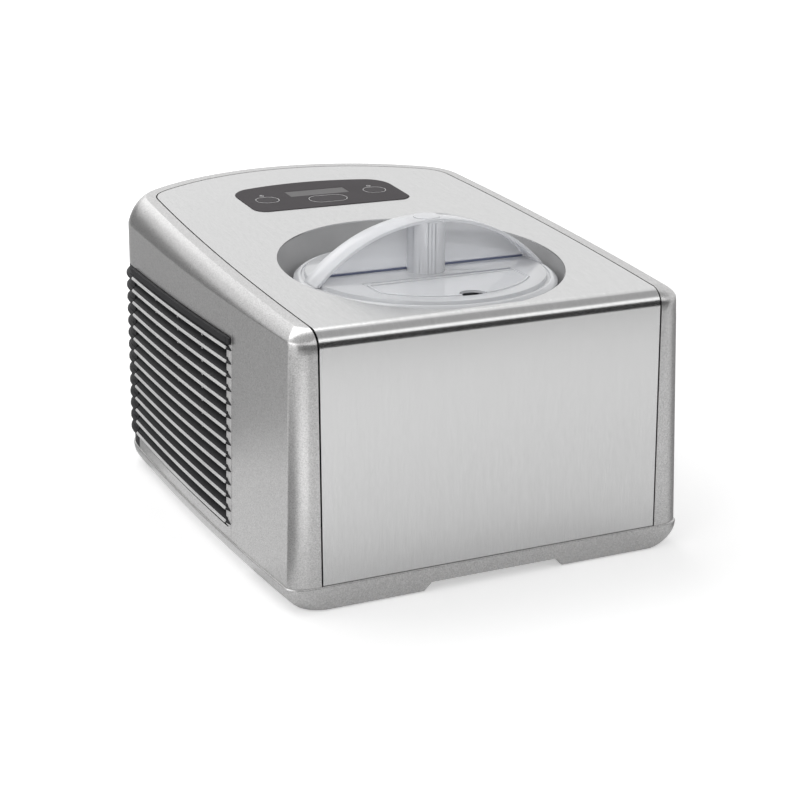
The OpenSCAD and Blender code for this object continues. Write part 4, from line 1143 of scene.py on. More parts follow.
@dataclass
class RecessCollar:
    """The smooth grey wall that slopes down from the steel to the bowl's well."""

    plan: BodyPlan
    top_r: float = 100.7
    top_back: float = 110.3
    foot_r: float = 94.5
    foot_back: float = 103.2
    foot_z: float = 175.7
    ledge_r: float = 83.4
    ledge_t: float = 2.0
    wall: float = 1.9
    steps: int = 160

    def wall_ring(self, t: float, out: float = 0.0, up: float = 0.0) -> list[Point]:
        """A ring of the sloping wall.

        Args:
            t: 0 at the foot and 1 under the steel.
            out: How much wider the ring is.
            up: How much higher it is.

        Returns:
            The ring's points.
        """
        p, top = self.plan, SteelSheet(self.plan)
        points = []
        for k in range(self.steps):
            a = math.tau * k / self.steps
            r, top_r = self.foot_r + out, self.top_r + out
            low = (r * math.cos(a), p.front_y + self.foot_back + r * math.sin(a), self.foot_z)
            high = top.on_top(top_r * math.cos(a), self.top_back + top_r * math.sin(a), -1.0)
            x, y, z = (l + (h - l) * t for l, h in zip(low, high))
            points.append((x, y, z + up))
        return points

    def ledge_ring(self, r: float, z: float) -> list[Point]:
        """A level ring round the well's axis.

        Args:
            r: Its radius.
            z: Its height.

        Returns:
            The ring's points.
        """
        y = self.plan.front_y + self.foot_back
        turns = [math.tau * k / self.steps for k in range(self.steps)]
        return [(r * math.cos(a), y + r * math.sin(a), z) for a in turns]

    def build(self, looks: Wardrobe) -> bpy.types.Object:
        """Builds the collar in the place of its CAD node.

        Args:
            looks: The finishes.

        Returns:
            The collar.
        """
        below = self.foot_z - self.ledge_t
        rings = [self.wall_ring(1.0 - k / 6) for k in range(6)]
        rings += [self.wall_ring(0.12), [(x * 0.997, y, z) for x, y, z in self.wall_ring(0.04)]]
        rings += [self.ledge_ring(self.foot_r - 1.6, self.foot_z), self.ledge_ring(self.ledge_r, self.foot_z)]
        rings += [self.ledge_ring(self.ledge_r, below), self.ledge_ring(self.foot_r, below)]
        rings += [self.wall_ring(0.1, self.wall, -1.0), self.wall_ring(1.0, self.wall)]
        points = [q for ring in rings for q in ring]
        n, last = self.steps, (len(rings) - 1) * self.steps
        faces = ring_faces(n, len(rings)) + [(last + k, last + (k + 1) % n, (k + 1) % n, k) for k in range(n)]
        collar = make_piece("recess_collar", points, faces, looks.recess, sharp=50.0, weld=0.001)
        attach(collar, "housing")
        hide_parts("well_collar")
        return report(collar)


# ---------------------------------------------------------------- repeated and swept parts


class GroupInput:
    """Finds the inputs of a geometry node group by name and sets them on a modifier."""

    def __init__(self, tree: bpy.types.NodeTree) -> None:
        """Keeps the socket identifiers of the group.

        Args:
            tree: The node group.
        """
        self.by_name = {s.name: s.identifier for s in tree.interface.items_tree if s.in_out == "INPUT"}

    def apply(
        self, piece: bpy.types.Object, tree: bpy.types.NodeTree, values: dict[str, object], sharp: float
    ) -> None:
        """Runs the group on a piece and keeps the plain mesh it gives.

        Args:
            piece: The object to change.
            tree: The node group.
            values: Values by input name.
            sharp: Angle for sharp edges afterwards.
        """
        change = piece.modifiers.new(tree.name, "NODES")
        change.node_group = tree
        for name, value in values.items():
            change[self.by_name[name]] = value
        bake(piece, sharp)


def sweep_group() -> tuple[bpy.types.NodeTree, GroupInput]:
    """A group that sweeps a section object along the piece's own polylines.

    Returns:
        The group and its inputs: the section, the seed and the finish.
    """
    tree = bpy.data.node_groups.new("section_sweep", "GeometryNodeTree")
    face = tree.interface
    face.new_socket("Geometry", in_out="INPUT", socket_type="NodeSocketGeometry")
    face.new_socket("Section", in_out="INPUT", socket_type="NodeSocketObject")
    face.new_socket("Seed", in_out="INPUT", socket_type="NodeSocketInt")
    face.new_socket("Finish", in_out="INPUT", socket_type="NodeSocketMaterial")
    face.new_socket("Geometry", in_out="OUTPUT", socket_type="NodeSocketGeometry")
    nodes, join = tree.nodes, tree.links.new
    start, end = nodes.new("NodeGroupInput"), nodes.new("NodeGroupOutput")
    curve = nodes.new("GeometryNodeMeshToCurve")
    upright = nodes.new("GeometryNodeSetCurveNormal")
    upright.mode = "Z_UP"
    width = nodes.new("GeometryNodeSetCurveRadius")
    taper = nodes.new("GeometryNodeInputNamedAttribute")
    taper.data_type = "FLOAT"
    taper.inputs["Name"].default_value = "taper"
    section = nodes.new("GeometryNodeObjectInfo")
    outline = nodes.new("GeometryNodeMeshToCurve")
    sweep = nodes.new("GeometryNodeCurveToMesh")
    sweep.inputs["Fill Caps"].default_value = True
    real = nodes.new("GeometryNodeRealizeInstances")
    wear = nodes.new("GeometryNodeSetMaterial")
    join(start.outputs["Geometry"], curve.inputs["Mesh"])
    join(curve.outputs[0], upright.inputs["Curve"])
    join(upright.outputs[0], width.inputs["Curve"])
    join(taper.outputs["Attribute"], width.inputs["Radius"])
    join(start.outputs["Section"], section.inputs["Object"])
    join(section.outputs["Geometry"], outline.inputs["Mesh"])
    join(width.outputs[0], sweep.inputs["Curve"])
    join(outline.outputs[0], sweep.inputs["Profile Curve"])
    if "Scale" in sweep.inputs:
        radius = nodes.new("GeometryNodeInputRadius")
        join(radius.outputs[0], sweep.inputs["Scale"])
    join(sweep.outputs[0], real.inputs[0])
    join(real.outputs[0], wear.inputs["Geometry"])
    join(start.outputs["Finish"], wear.inputs["Material"])
    join(wear.outputs[0], end.inputs["Geometry"])
    return tree, GroupInput(tree)


@dataclass
class Grilles:
    """The fins of both sides and of the rear corners, with the ribs behind them."""

    plan: BodyPlan
    count: int = 14
    pitch: float = 9.5
    first: float = 3.4
    proud: float = 2.6
    depth: float = 6.0
    rise: float = 7.6
    edge: float = 1.5
    ribs: tuple[float, ...] = (100.0, 150.0, 200.0, 250.0, 296.0)
    rib_t: float = 2.6
    top_bar: Flat = (157.0, 161.6)
    foot_bar: Flat = (26.2, 29.4)

    def paths(self, name: str, mirror: float, looks: Wardrobe, corner: bool) -> bpy.types.Object:
        """Polylines of one set of fins, with a taper at their open ends.

        Args:
            name: The piece's name.
            mirror: 1 for the right side and -1 for the left.
            looks: The finishes.
            corner: Whether these fins are those round the rear corner.

        Returns:
            A mesh of edges that the sweep group turns into fins.
        """
        p = self.plan
        points: list[Point] = []
        edges: list[tuple[int, int]] = []
        taper: list[float] = []
        for i in range(self.count):
            z = p.grille_low + self.first + i * self.pitch
            d, grow = p.side_d(z), p.draft_at(z)
            if corner:
                r = p.rear_r + d + grow
                last = math.acos(60.6 / r)
                row = [p.place(Station(Kind.SIDE, 300.6), d, p.front_y, grow=grow)]
                row += [p.place(Station(Kind.CORNER, k / 14), d, 0.0, grow=grow) for k in range(15)]
                row += [
                    (p.rear_c[0] + r * math.cos(a), p.rear_c[1] + r * math.sin(a))
                    for a in (p.rear_end + (last - p.rear_end) * k / 6 for k in range(1, 7))
                ]
                scale = [1.0] * len(row)
            else:
                stops = [93.3, 93.9, 94.8, 96.2, 97.6, 98.6, 99.0]
                stops += [110 + k * 18.9 for k in range(10)] + [299.6]
                row = [p.place(Station(Kind.SIDE, s), d, p.front_y, grow=grow) for s in stops]
                scale = [0.1, 0.24, 0.36, 0.48, 0.6, 0.75] + [1.0] * (len(stops) - 6)
            base = len(points)
            points += [(mirror * x, y, z) for x, y in row]
            edges += [(base + k, base + k + 1) for k in range(len(row) - 1)]
            taper += scale
        mesh = bpy.data.meshes.new(name)
        mesh.from_pydata([(x * MM, y * MM, z * MM) for x, y, z in points], edges, [])
        mesh.attributes.new("taper", "FLOAT", "POINT").data.foreach_set("value", taper)
        piece = bpy.data.objects.new(name, mesh)
        bpy.context.scene.collection.objects.link(piece)
        mesh.materials.append(looks.black)
        return piece

    def section(self, name: str, mirror: float) -> bpy.types.Object:
        """The fin's section: a blade that rises inwards from its rounded outer edge.

        Args:
            name: The object's name.
            mirror: 1 for the right side and -1 for the left.

        Returns:
            A mesh of edges round the section.
        """
        out, back, top, lip = self.proud, -self.depth, self.rise, self.edge
        ring = [
            (back, top - 1.0), (out - 1.6, 0.2), (out - 1.2, 0.0), (out - 0.35, 0.0), (out - 0.08, 0.12),
            (out, 0.35), (out, lip - 0.3), (out - 0.12, lip + 0.1), (out - 0.9, lip + 0.75),
            (back + 1.5, top - 0.1), (back + 1.2, top), (back, top),
        ]
        mesh = bpy.data.meshes.new(name)
        if mirror > 0:
            ring.reverse()
        points = [(u * MM * mirror, -v * MM, 0.0) for u, v in ring]
        mesh.from_pydata(points, [(k, (k + 1) % len(ring)) for k in range(len(ring))], [])
        piece = bpy.data.objects.new(name, mesh)
        bpy.context.scene.collection.objects.link(piece)
        return piece

    def paint_fin_highlights(self, piece: bpy.types.Object, finish: bpy.types.Material) -> None:
        """Gives the outer lips of the fins a light grey finish, a painted highlight for the light they catch.

        Args:
            piece: The swept fins.
            finish: The lips' painted highlight.
        """
        p = self.plan
        piece.data.materials.append(finish)
        light = len(piece.data.materials) - 1
        for face in piece.data.polygons:
            low = p.grille_low + self.first
            z = face.center.z / MM
            up = (z - low) % self.pitch
            behind = face.center.y / MM > p.front_y + 98.6
            if behind and z > low - 0.2 and 0.3 < up < self.edge + 0.8 and face.normal.z > -0.3:
                # The upward faces of each lip get the painted highlight.
                face.material_index = light

    def bar(
        self, mirror: float, along: Flat, heights: Flat, offsets: Flat, steps: int
    ) -> tuple[list[Point], list[Sequence[int]]]:
        """A bar that follows the side.

        Args:
            mirror: 1 for the right side and -1 for the left.
            along: Where it starts and ends, back from the fold.
            heights: Its lower and upper height.
            offsets: Its inner and outer offset from the outline.
            steps: Stretches along it.

        Returns:
            Its points and its faces.
        """
        p = self.plan
        points: list[Point] = []
        for k in range(steps + 1):
            spot = Station(Kind.SIDE, along[0] + (along[1] - along[0]) * k / steps)
            (z0, z1), (d0, d1) = heights, offsets
            for d, z in ((d0, z0), (d1, z0), (d1, z1), (d0, z1)):
                x, y = p.place(spot, p.side_d(z) + d, p.front_y, grow=p.draft_at(z))
                points.append((mirror * x, y, z))
        faces: list[Sequence[int]] = list(ring_faces(4, steps + 1))
        faces.append((3, 2, 1, 0))
        faces.append(tuple(steps * 4 + q for q in range(4)))
        return points, faces

    def frame(self, name: str, mirror: float, looks: Wardrobe) -> bpy.types.Object:
        """The bar along the top of the fins, with its sharp front end, and the bar below them.

        Args:
            name: The piece's name.
            mirror: 1 for the right side and -1 for the left.
            looks: The finishes.

        Returns:
            The piece.
        """
        points: list[Point] = []
        faces: list[Sequence[int]] = []
        for corners, sides in (
            self.bar(mirror, (93.4, 98.4), self.top_bar, (0.2, 2.4), 2),
            self.bar(mirror, (98.4, 299.6), self.top_bar, (-8.5, 2.4), 20),
            self.bar(mirror, (98.4, 299.6), self.foot_bar, (-8.5, -0.5), 20),
        ):
            faces += [tuple(len(points) + q for q in side) for side in sides]
            points += corners
        piece = make_piece(name, points, faces, looks.black)
        soften(piece, 0.5, 2)
        return piece

    def rib_set(self, name: str, mirror: float, looks: Wardrobe) -> bpy.types.Object:
        """The upright ribs behind the fins, in a lighter grey than the fins: painted light that stands in for
        the light they catch.

        Args:
            name: The piece's name.
            mirror: 1 for the right side and -1 for the left.
            looks: The finishes.

        Returns:
            The piece.
        """
        p = self.plan
        points: list[Point] = []
        faces: list[Sequence[int]] = []
        for s in self.ribs:
            base = len(points)
            for z in (27.5, 160.0):
                for at, d in ((s, -8.8), (s, -1.6), (s + self.rib_t, -1.6), (s + self.rib_t, -8.8)):
                    x, y = p.place(Station(Kind.SIDE, at), p.side_d(z) + d, p.front_y, grow=p.draft_at(z))
                    points.append((mirror * x, y, z))
            faces.extend(tuple(base + q for q in f) for f in ring_faces(4, 2))
            faces += [(base, base + 1, base + 2, base + 3), (base + 7, base + 6, base + 5, base + 4)]
        # The ribs wear the lighter grey of painted light.
        return make_piece(name, points, faces, looks.rib, weld=0.001)

    def reveal(self, name: str, mirror: float, looks: Wardrobe) -> bpy.types.Object:
        """The light strip ahead of the fins, which shows between their noses.

        Args:
            name: The piece's name.
            mirror: 1 for the right side and -1 for the left.
            looks: The finishes.

        Returns:
            The piece.
        """
        p = self.plan
        points: list[Point] = []
        steps = 12
        for k in range(steps + 1):
            z = 27.0 + (156.5 - 27.0) * k / steps
            for s, d in ((93.25, -0.3), (93.25, 0.12), (101.5, 0.12), (101.5, -0.3)):
                x, y = p.place(Station(Kind.SIDE, s), p.side_d(z) + d, p.front_y, grow=p.draft_at(z))
                points.append((mirror * x, y, z))
        faces: list[Sequence[int]] = list(ring_faces(4, steps + 1))
        faces += [(0, 1, 2, 3), (steps * 4 + 3, steps * 4 + 2, steps * 4 + 1, steps * 4)]
        return make_piece(name, points, faces, looks.light_strip, weld=0.001)

    def build(self, looks: Wardrobe) -> list[bpy.types.Object]:
        """Builds both grilles and the fins of the rear corners.

        Args:
            looks: The finishes.

        Returns:
            The black pieces of both sides.
        """
        tree, inputs = sweep_group()
        made = []
        for side, mirror in (("right", 1.0), ("left", -1.0)):
            section = self.section(f"{side}_fin_section", mirror)
            values = {"Section": section, "Seed": 1, "Finish": looks.black}
            fins = self.paths(f"{side}_grille_fins", mirror, looks, False)
            corner = self.paths(f"{side}_corner_fins", mirror, looks, True)
            for piece in (fins, corner):
                inputs.apply(piece, tree, values, 30.0)
            self.paint_fin_highlights(fins, looks.painted_fin_highlight)
            bpy.data.objects.remove(section)
            frame_piece = self.frame(f"{side}_grille_frame", mirror, looks)
            ribs = self.rib_set(f"{side}_grille_ribs", mirror, looks)
            reveal = self.reveal(f"{side}_grille_reveal", mirror, looks)
            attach(reveal, "housing")
            report(reveal)
            for piece in (fins, frame_piece, corner, ribs):
                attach(piece, "housing")
                made.append(report(piece))
            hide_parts(f"{side}_grille")
        return made


# ---------------------------------------------------------------- lid and bowl


@dataclass
class ClearLid:
    """The clear lid with its strap, web and post, and the flap over its opening."""

    axis: Flat
    plate_z: float = 190.9
    strap_r: float = 118.13
    strap_t: float = 2.4
    strap_w: float = 21.0
    strap_rise: float = 38.0
    flap_half: float = 57.0
    flap_back: float = -17.7
    flap_r: float = 73.0
    notch_r: float = 9.5
    notch_y: float = -70.2

    def flap_outline(self, grow: float, hinge: float, steps: int = 48) -> list[Flat]:
        """The flap's plan.

        Args:
            grow: How much wider it is all round.
            hinge: How much further back its straight edge is.
            steps: Facets along its round edge.

        Returns:
            The plan, with the lid's axis in its place.
        """
        r, half, back = self.flap_r + grow, self.flap_half + grow, self.flap_back + hinge
        a = math.asin(half / r)
        turns = (-a + 2 * a * k / steps for k in range(steps + 1))
        points = [(-half, back), *((r * math.sin(b), -r * math.cos(b)) for b in turns), (half, back)]
        return [(x + self.axis[0], y + self.axis[1]) for x, y in points]

    def flap_slab(
        self, name: str, grow: float, hinge: float, levels: Flat, finish: bpy.types.Material
    ) -> bpy.types.Object:
        """A slab with the flap's plan.

        Args:
            name: The piece's name.
            grow: How much wider than the flap it is.
            hinge: How much further back its straight edge is.
            levels: Its lower and upper height over the lid's plate.
            finish: The material it wears.

        Returns:
            The slab.
        """
        low, high = (self.plate_z + level for level in levels)
        return prism(name, self.flap_outline(grow, hinge), low, high, finish)

    def upright(
        self, name: str, outline: Sequence[Flat], y0: float, y1: float, finish: bpy.types.Material
    ) -> bpy.types.Object:
        """A plate that stands across the lid.

        Args:
            name: The piece's name.
            outline: Its outline as x and z.
            y0: Its front face, from the lid's axis.
            y1: Its back face, from the lid's axis.
            finish: The material it wears.

        Returns:
            The plate.
        """
        points = [(self.axis[0] + x, self.axis[1] + y, z) for y in (y1, y0) for x, z in outline]
        return make_piece(name, points, capped_faces(len(outline)), finish, weld=0.001)

    def strap_arc(self, r: float, level: float, steps: int = 72) -> list[Flat]:
        """Points of an arc round the strap's centre, from right to left.

        Args:
            r: The arc's radius.
            level: The height at which it starts and ends.
            steps: Stretches along it.

        Returns:
            The points as x and z.
        """
        middle = self.plate_z + self.strap_rise - self.strap_r
        a = math.asin((level - middle) / r)
        turns = (a + (math.pi - 2 * a) * k / steps for k in range(steps + 1))
        return [(r * math.cos(b), middle + r * math.sin(b)) for b in turns]

    def build_lid(self, looks: Wardrobe) -> list[bpy.types.Object]:
        """Builds the lid with its strap and post, the web, and a dark line at the web's root: painted
        refraction for how the clear plastic looks dark there edge-on.

        Args:
            looks: The finishes.

        Returns:
            The pieces.
        """
        top = self.plate_z + self.strap_rise
        # The lid's section, as radius and height: the plate's underside, the skirt, the rim and the step.
        profile = [(0.0, 187.9), (75.4, 187.9), (75.4, 180.0), (75.8, 179.7), (77.0, 179.8), (77.3, 180.4)]
        profile += [(78.0, 184.7), (91.5, 184.7), (91.9, 185.0), (91.9, 186.3), (91.7, 186.7), (89.0, 188.8)]
        profile += [(88.3, 189.1), (87.2, 189.1), (86.8, 188.9), (86.2, 187.9), (84.7, 187.9), (84.4, 188.2)]
        profile += [(84.0, 190.4), (83.8, 190.8), (83.3, 190.9), (0.0, 190.9)]
        lid = turned("clear_lid", profile, self.axis, looks.clear, steps=192, sharp=28.0)
        half, sunk = self.strap_w / 2, self.plate_z - 1.6
        arch = self.strap_arc(self.strap_r, sunk) + self.strap_arc(self.strap_r - self.strap_t, sunk)[::-1]
        strap = self.upright("strap", arch, -half, half, looks.clear)
        soften(strap, 0.5, 2)
        sheet = self.strap_arc(self.strap_r - 1.2, self.plate_z - 0.8)
        web = self.upright("lid_web", sheet, half - 2.6, half - 0.6, looks.clear_web)
        # A dark strip along the web's root: painted refraction, not a part of its own.
        low, high, reach = self.plate_z, self.plate_z + 1.5, self.strap_r - 36.5
        line = [(reach, low), (reach, high), (-reach, high), (-reach, low)]
        root = self.upright("lid_web_root", line, half - 2.9, half - 0.3, looks.painted_dark_refraction)
        foot = self.plate_z - 0.7
        tube = [(11.55, foot), (13.35, foot), (13.35, top - 1.7), (11.55, top - 1.9)]
        post = turned("post", tube, self.axis, looks.clear, 96)
        button = [(0.0, top - 2.6), (9.2, top - 2.6), (9.5, top - 2.3), (9.5, top + 0.3), (9.1, top + 0.6)]
        disc = turned("disc", [*button, (0.0, top + 0.6)], self.axis, looks.clear, 96)
        carve(lid, [strap, post, disc], "UNION")
        pocket = self.flap_slab("pocket", 0.4, 0.5, (-2.2, 2.0), looks.clear)
        mouth = self.flap_slab("mouth", -1.6, 0.5, (-6.0, 2.0), looks.clear)
        carve(lid, [pocket, mouth])
        shade(lid, 28.0)
        for piece in (lid, web, root):
            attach(piece, "lid")
            report(piece)
        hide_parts("lid")
        return [lid, web, root]

    def build_flap(self, looks: Wardrobe) -> bpy.types.Object:
        """Builds the flap with its raised edge and its finger notch.

        Args:
            looks: The finishes.

        Returns:
            The flap.
        """
        flap = self.flap_slab("mix_in_flap_clear", 0.0, 0.0, (-1.8, 0.0), looks.clear)
        soften(flap, 0.25, 2)
        ridge = self.flap_slab("ridge", -0.3, -6.0, (-0.5, 0.8), looks.clear)
        carve(ridge, [self.flap_slab("inside", -1.8, -7.5, (-1.0, 2.0), looks.clear)])
        soften(ridge, 0.25, 2)
        carve(flap, [ridge], "UNION")
        drill = [(0.0, 180.0), (self.notch_r, 180.0), (self.notch_r, 200.0), (0.0, 200.0)]
        notch_at = (self.axis[0], self.axis[1] + self.notch_y)
        carve(flap, [turned("notch", drill, notch_at, looks.clear, 96)])
        shade(flap, 28.0)
        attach(flap, "mix_in_flap")
        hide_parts("mix_in_flap")
        return report(flap)

    def build(self, looks: Wardrobe) -> list[bpy.types.Object]:
        """Builds the lid and the flap in the place of their CAD nodes.

        Args:
            looks: The finishes.

        Returns:
            The pieces.
        """
        return [*self.build_lid(looks), self.build_flap(looks)]


@dataclass
class SpunBowl:
    """The aluminium bowl with its rolled lip and centre tube."""

    axis: Flat

    def build(self, looks: Wardrobe) -> bpy.types.Object:
        """Builds the bowl's rim over its CAD node, which stays in view.

        Args:
            looks: The finishes.

        Returns:
            The rim.
        """
        profile = [(79.0, 183.6), (79.1, 184.2), (79.5, 184.6), (80.0, 184.68), (85.2, 184.68), (85.8, 184.4)]
        profile += [(86.0, 183.9), (85.9, 183.4), (85.4, 183.1), (81.2, 183.1), (81.05, 182.0), (79.2, 182.0)]
        rim = turned("bowl_rim", profile, self.axis, looks.bowl, steps=160, sharp=60.0)
        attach(rim, "bowl")
        return report(rim)


# ---------------------------------------------------------------- control panel


class Symbol(Enum):
    """Small generic signs printed above the end keys."""

    SWITCH = "switch"
    TIMER = "timer"


@dataclass
class ControlPanel:
    """The dark panel with its display window, three oval keys and plain prints."""

    plan: BodyPlan
    width: float = 130.0
    back: float = 252.0
    depth: float = 66.0
    corner: float = 10.0
    back_corner: float = 20.0
    level: float = 0.4
    window: tuple[float, float, float, float] = (0.0, 289.4, 49.0, 14.0)
    ovals: tuple[tuple[str, float, float, float, float], ...] = (
        ("button_left", -45.5, 279.7, 16.5, 13.0),
        ("button_right", 45.5, 281.7, 16.5, 13.0),
        ("button_middle", 1.0, 270.7, 29.0, 15.0),
    )
    signs: tuple[tuple[Symbol, float, float], ...] = (
        (Symbol.SWITCH, -45.5, 291.0),
        (Symbol.TIMER, 45.5, 292.6),
    )

    def outline(self, grow: float) -> list[Flat]:
        """The panel's plan in the frame of the sloping top.

        Args:
            grow: How much wider it is all round.

        Returns:
            The plan.
        """
        r = self.corner + grow
        x = self.width / 2 - self.corner
        back_x = self.width / 2 - self.back_corner
        rear = self.plan.rear_r
        centre = (0.0, self.back + self.depth - rear)
        back_y = centre[1] + math.sqrt((rear - self.back_corner) ** 2 - back_x**2)
        turn = math.degrees(math.atan2(back_y - centre[1], back_x))
        back_r = self.back_corner + grow
        points = arc_points((x, self.back + self.corner), r, -90.0, 0.0, 16)
        points += arc_points((back_x, back_y), back_r, 0.0, turn, 16)
        points += arc_points(centre, rear + grow, turn, 180.0 - turn, 32)[1:-1]
        points += arc_points((-back_x, back_y), back_r, 180.0 - turn, 180.0, 16)
        points += arc_points((-x, self.back + self.corner), r, 180.0, 270.0, 16)
        return points

    def oval(self, cx: float, cy: float, w: float, d: float, grow: float) -> list[Flat]:
        """The plan of an oval key.

        Args:
            cx: Its middle, across.
            cy: Its middle, back along the slope.
            w: Its width.
            d: Its depth.
            grow: How much wider it is all round.

        Returns:
            The plan.
        """
        r, shift = d / 2 + grow, (w - d) / 2
        right = arc_points((cx + shift, cy), r, -90.0, 90.0, 28)
        return right + arc_points((cx - shift, cy), r, 90.0, 270.0, 28)

    def slab(
        self, name: str, outline: Sequence[Flat], low: float, high: float, finish: bpy.types.Material
    ) -> bpy.types.Object:
        """A flat piece over the sloping top.

        Args:
            name: The piece's name.
            outline: Its plan in the frame of the sloping top.
            low: Its lower face over the top.
            high: Its upper face over the top.
            finish: The material it wears.

        Returns:
            The piece.
        """
        top = SteelSheet(self.plan)
        points = [top.on_top(x, y, z) for z in (low, high) for x, y in outline]
        return make_piece(name, points, capped_faces(len(outline)), finish, weld=0.001)

    def ring(
        self, name: str, outer: Sequence[Flat], inner: Sequence[Flat], finish: bpy.types.Material
    ) -> bpy.types.Object:
        """A printed line between two outlines that have as many points as each other.

        Args:
            name: The piece's name.
            outer: The line's outer outline.
            inner: Its inner outline.
            finish: The material it wears.

        Returns:
            The piece.
        """
        top = SteelSheet(self.plan)
        n, (low, high) = len(outer), self.print_levels()
        loops = ((outer, low), (outer, high), (inner, high), (inner, low))
        points = [top.on_top(x, y, z) for loop, z in loops for x, y in loop]
        faces = ring_faces(n, 4) + [(3 * n + k, 3 * n + (k + 1) % n, (k + 1) % n, k) for k in range(n)]
        return make_piece(name, points, faces, finish, weld=0.0005)

    def print_levels(self) -> Flat:
        """Lower and upper face of the prints over the sloping top."""
        return (self.level - 0.05, self.level + 0.03)

    def symbol(self, kind: Symbol, cx: float, cy: float, looks: Wardrobe) -> bpy.types.Object:
        """A small open ring with a stroke, centred above a key.

        Args:
            kind: Which sign it is.
            cx: Its middle, across.
            cy: Its middle, back along the slope.
            looks: The finishes.

        Returns:
            The sign.
        """
        outer = arc_points((cx, cy), 1.7, 0.0, 360.0, 40)[:-1]
        inner = arc_points((cx, cy), 1.3, 0.0, 360.0, 40)[:-1]
        ring = self.ring(f"{kind.value}_symbol", outer, inner, looks.ink)
        if kind is Symbol.SWITCH:
            x0, x1, y0, y1 = -0.25, 0.25, 0.3, 2.4
        else:
            x0, x1, y0, y1 = -0.2, 1.0, -0.2, 0.2
        stroke = [(cx + x, cy + y) for x, y in ((x0, y0), (x1, y0), (x1, y1), (x0, y1))]
        carve(ring, [self.slab(f"{kind.value}_stroke", stroke, *self.print_levels(), looks.ink)], "UNION")
        return ring

    def build(self, looks: Wardrobe) -> list[bpy.types.Object]:
        """Builds the panel, the window, the keys and the prints.

        Args:
            looks: The finishes.

        Returns:
            The pieces.
        """
        panel = self.slab("control_panel", self.outline(0.0), -3.0, self.level, looks.panel)
        cx, cy, w, d = self.window
        corners = ((-w / 2, -d / 2), (w / 2, -d / 2), (w / 2, d / 2), (-w / 2, d / 2))
        rect = [(cx + x, cy + y) for x, y in corners]
        cutters = [self.slab("window_cutter", rect, -5.0, 3.0, looks.panel)]
        for name, x, y, a, b in self.ovals:
            cutters.append(self.slab(f"{name}_cutter", self.oval(x, y, a, b, 0.3), -5.0, 3.0, looks.panel))
        carve(panel, cutters)
        soften(panel, 0.25, 2, 40.0)
        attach(panel, "housing")
        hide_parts("control_bezel")
        made = [report(panel)]
        pane = [(cx + (x - cx) * 0.999, cy + (y - cy) * 0.998) for x, y in rect]
        glass = self.slab("display_glass", pane, -1.4, 0.2, looks.window)
        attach(glass, "housing")
        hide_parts("lcd_window")
        made.append(report(glass))
        for name, x, y, a, b in self.ovals:
            key = self.slab(f"{name}_cap", self.oval(x, y, a, b, 0.0), -4.4, 0.55, looks.key)
            soften(key, 0.35, 3, 40.0)
            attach(key, name)
            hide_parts(name)
            outer, inner = self.oval(x, y, a, b, 0.95), self.oval(x, y, a, b, 0.55)
            outline = self.ring(f"{name}_outline", outer, inner, looks.ink)
            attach(outline, "housing")
            made += [report(key), report(outline)]
        for kind, x, y in self.signs:
            sign = self.symbol(kind, x, y, looks)
            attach(sign, "housing")
            made.append(report(sign))
        return made


# ---------------------------------------------------------------- inner works


@dataclass
class InnerWorks:
    """The CAD pieces that stay in view: their finishes and smooth shading."""

    finishes: dict[str, str] = field(
        default_factory=lambda: {
            "rubber_feet": "rubber",
            "rear_cover": "black",
            "rear_louvre": "black",
            "cord_gland": "rubber",
            "lcd_module": "module",
            "control_board": "board",
            "evaporator_well": "fin_metal",
            "evaporator_coil": "copper",
            "foam_jacket": "foam",
            "compressor": "enamel",
            "compressor_grommets": "rubber",
            "condenser": "fin_metal",
            "fan_shroud": "gearbox",
            "fan_motor": "plated",
            "filter_drier": "copper",
            "refrigerant_line": "copper",
            "drive_motor": "plated",
            "gearbox_housing": "gearbox",
            "gearbox_cover": "gearbox",
            "power_board": "board",
            "run_capacitor": "fin_metal",
            "base_screws": "plated",
            "fan_blades": "gearbox",
            "motor_pinion": "white",
            "idler_gear": "white",
            "output_gear": "white",
            "drive_shaft": "plated",
            "paddle": "white",
            "bowl": "bowl",
            "bowl_handle": "fin_metal",
        }
    )

    def dress(self, nodes: dict[str, bpy.types.Object], looks: Wardrobe) -> None:
        """Gives each CAD node its finish, without moving a point of it.

        Args:
            nodes: The CAD nodes by name.
            looks: The finishes.
        """
        for name, finish in self.finishes.items():
            node = nodes[name]
            node.data.materials.clear()
            node.data.materials.append(getattr(looks, finish))
            shade(node, 30.0)
            LOG.info("dressed %s in %s", name, finish)


# ---------------------------------------------------------------- studio


@dataclass(frozen=True)
class Card:
    """A card that is only seen in reflections: its corners in metres, and its level, where 1 is white."""

    name: str
    corners: Sequence[Point]
    level: float


@dataclass(frozen=True)
class Lamp:
    """A soft rectangular light: its place, aim and size in metres, and its power in watts."""

    name: str
    place: Point
    aim: Point
    size: Flat
    power: float


def floor_card(name: str, outline: Sequence[Flat], level: float, height: float = 0.001) -> Card:
    """A card that lies just over the floor.

    Args:
        name: The card's name.
        outline: Its plan in metres.
        level: Its brightness.
        height: Its height in metres.

    Returns:
        The card.
    """
    return Card(name, [(x, y, height) for x, y in outline], level)


def standing_card(name: str, feet: tuple[Flat, Flat], top: float, level: float) -> Card:
    """A card that stands upright on the floor.

    Args:
        name: The card's name.
        feet: Its two lower corners in metres.
        top: Its height in metres.
        level: Its brightness.

    Returns:
        The card.
    """
    (x0, y0), (x1, y1) = feet
    return Card(name, [(x0, y0, 0.0), (x1, y1, 0.0), (x1, y1, top), (x0, y0, top)], level)


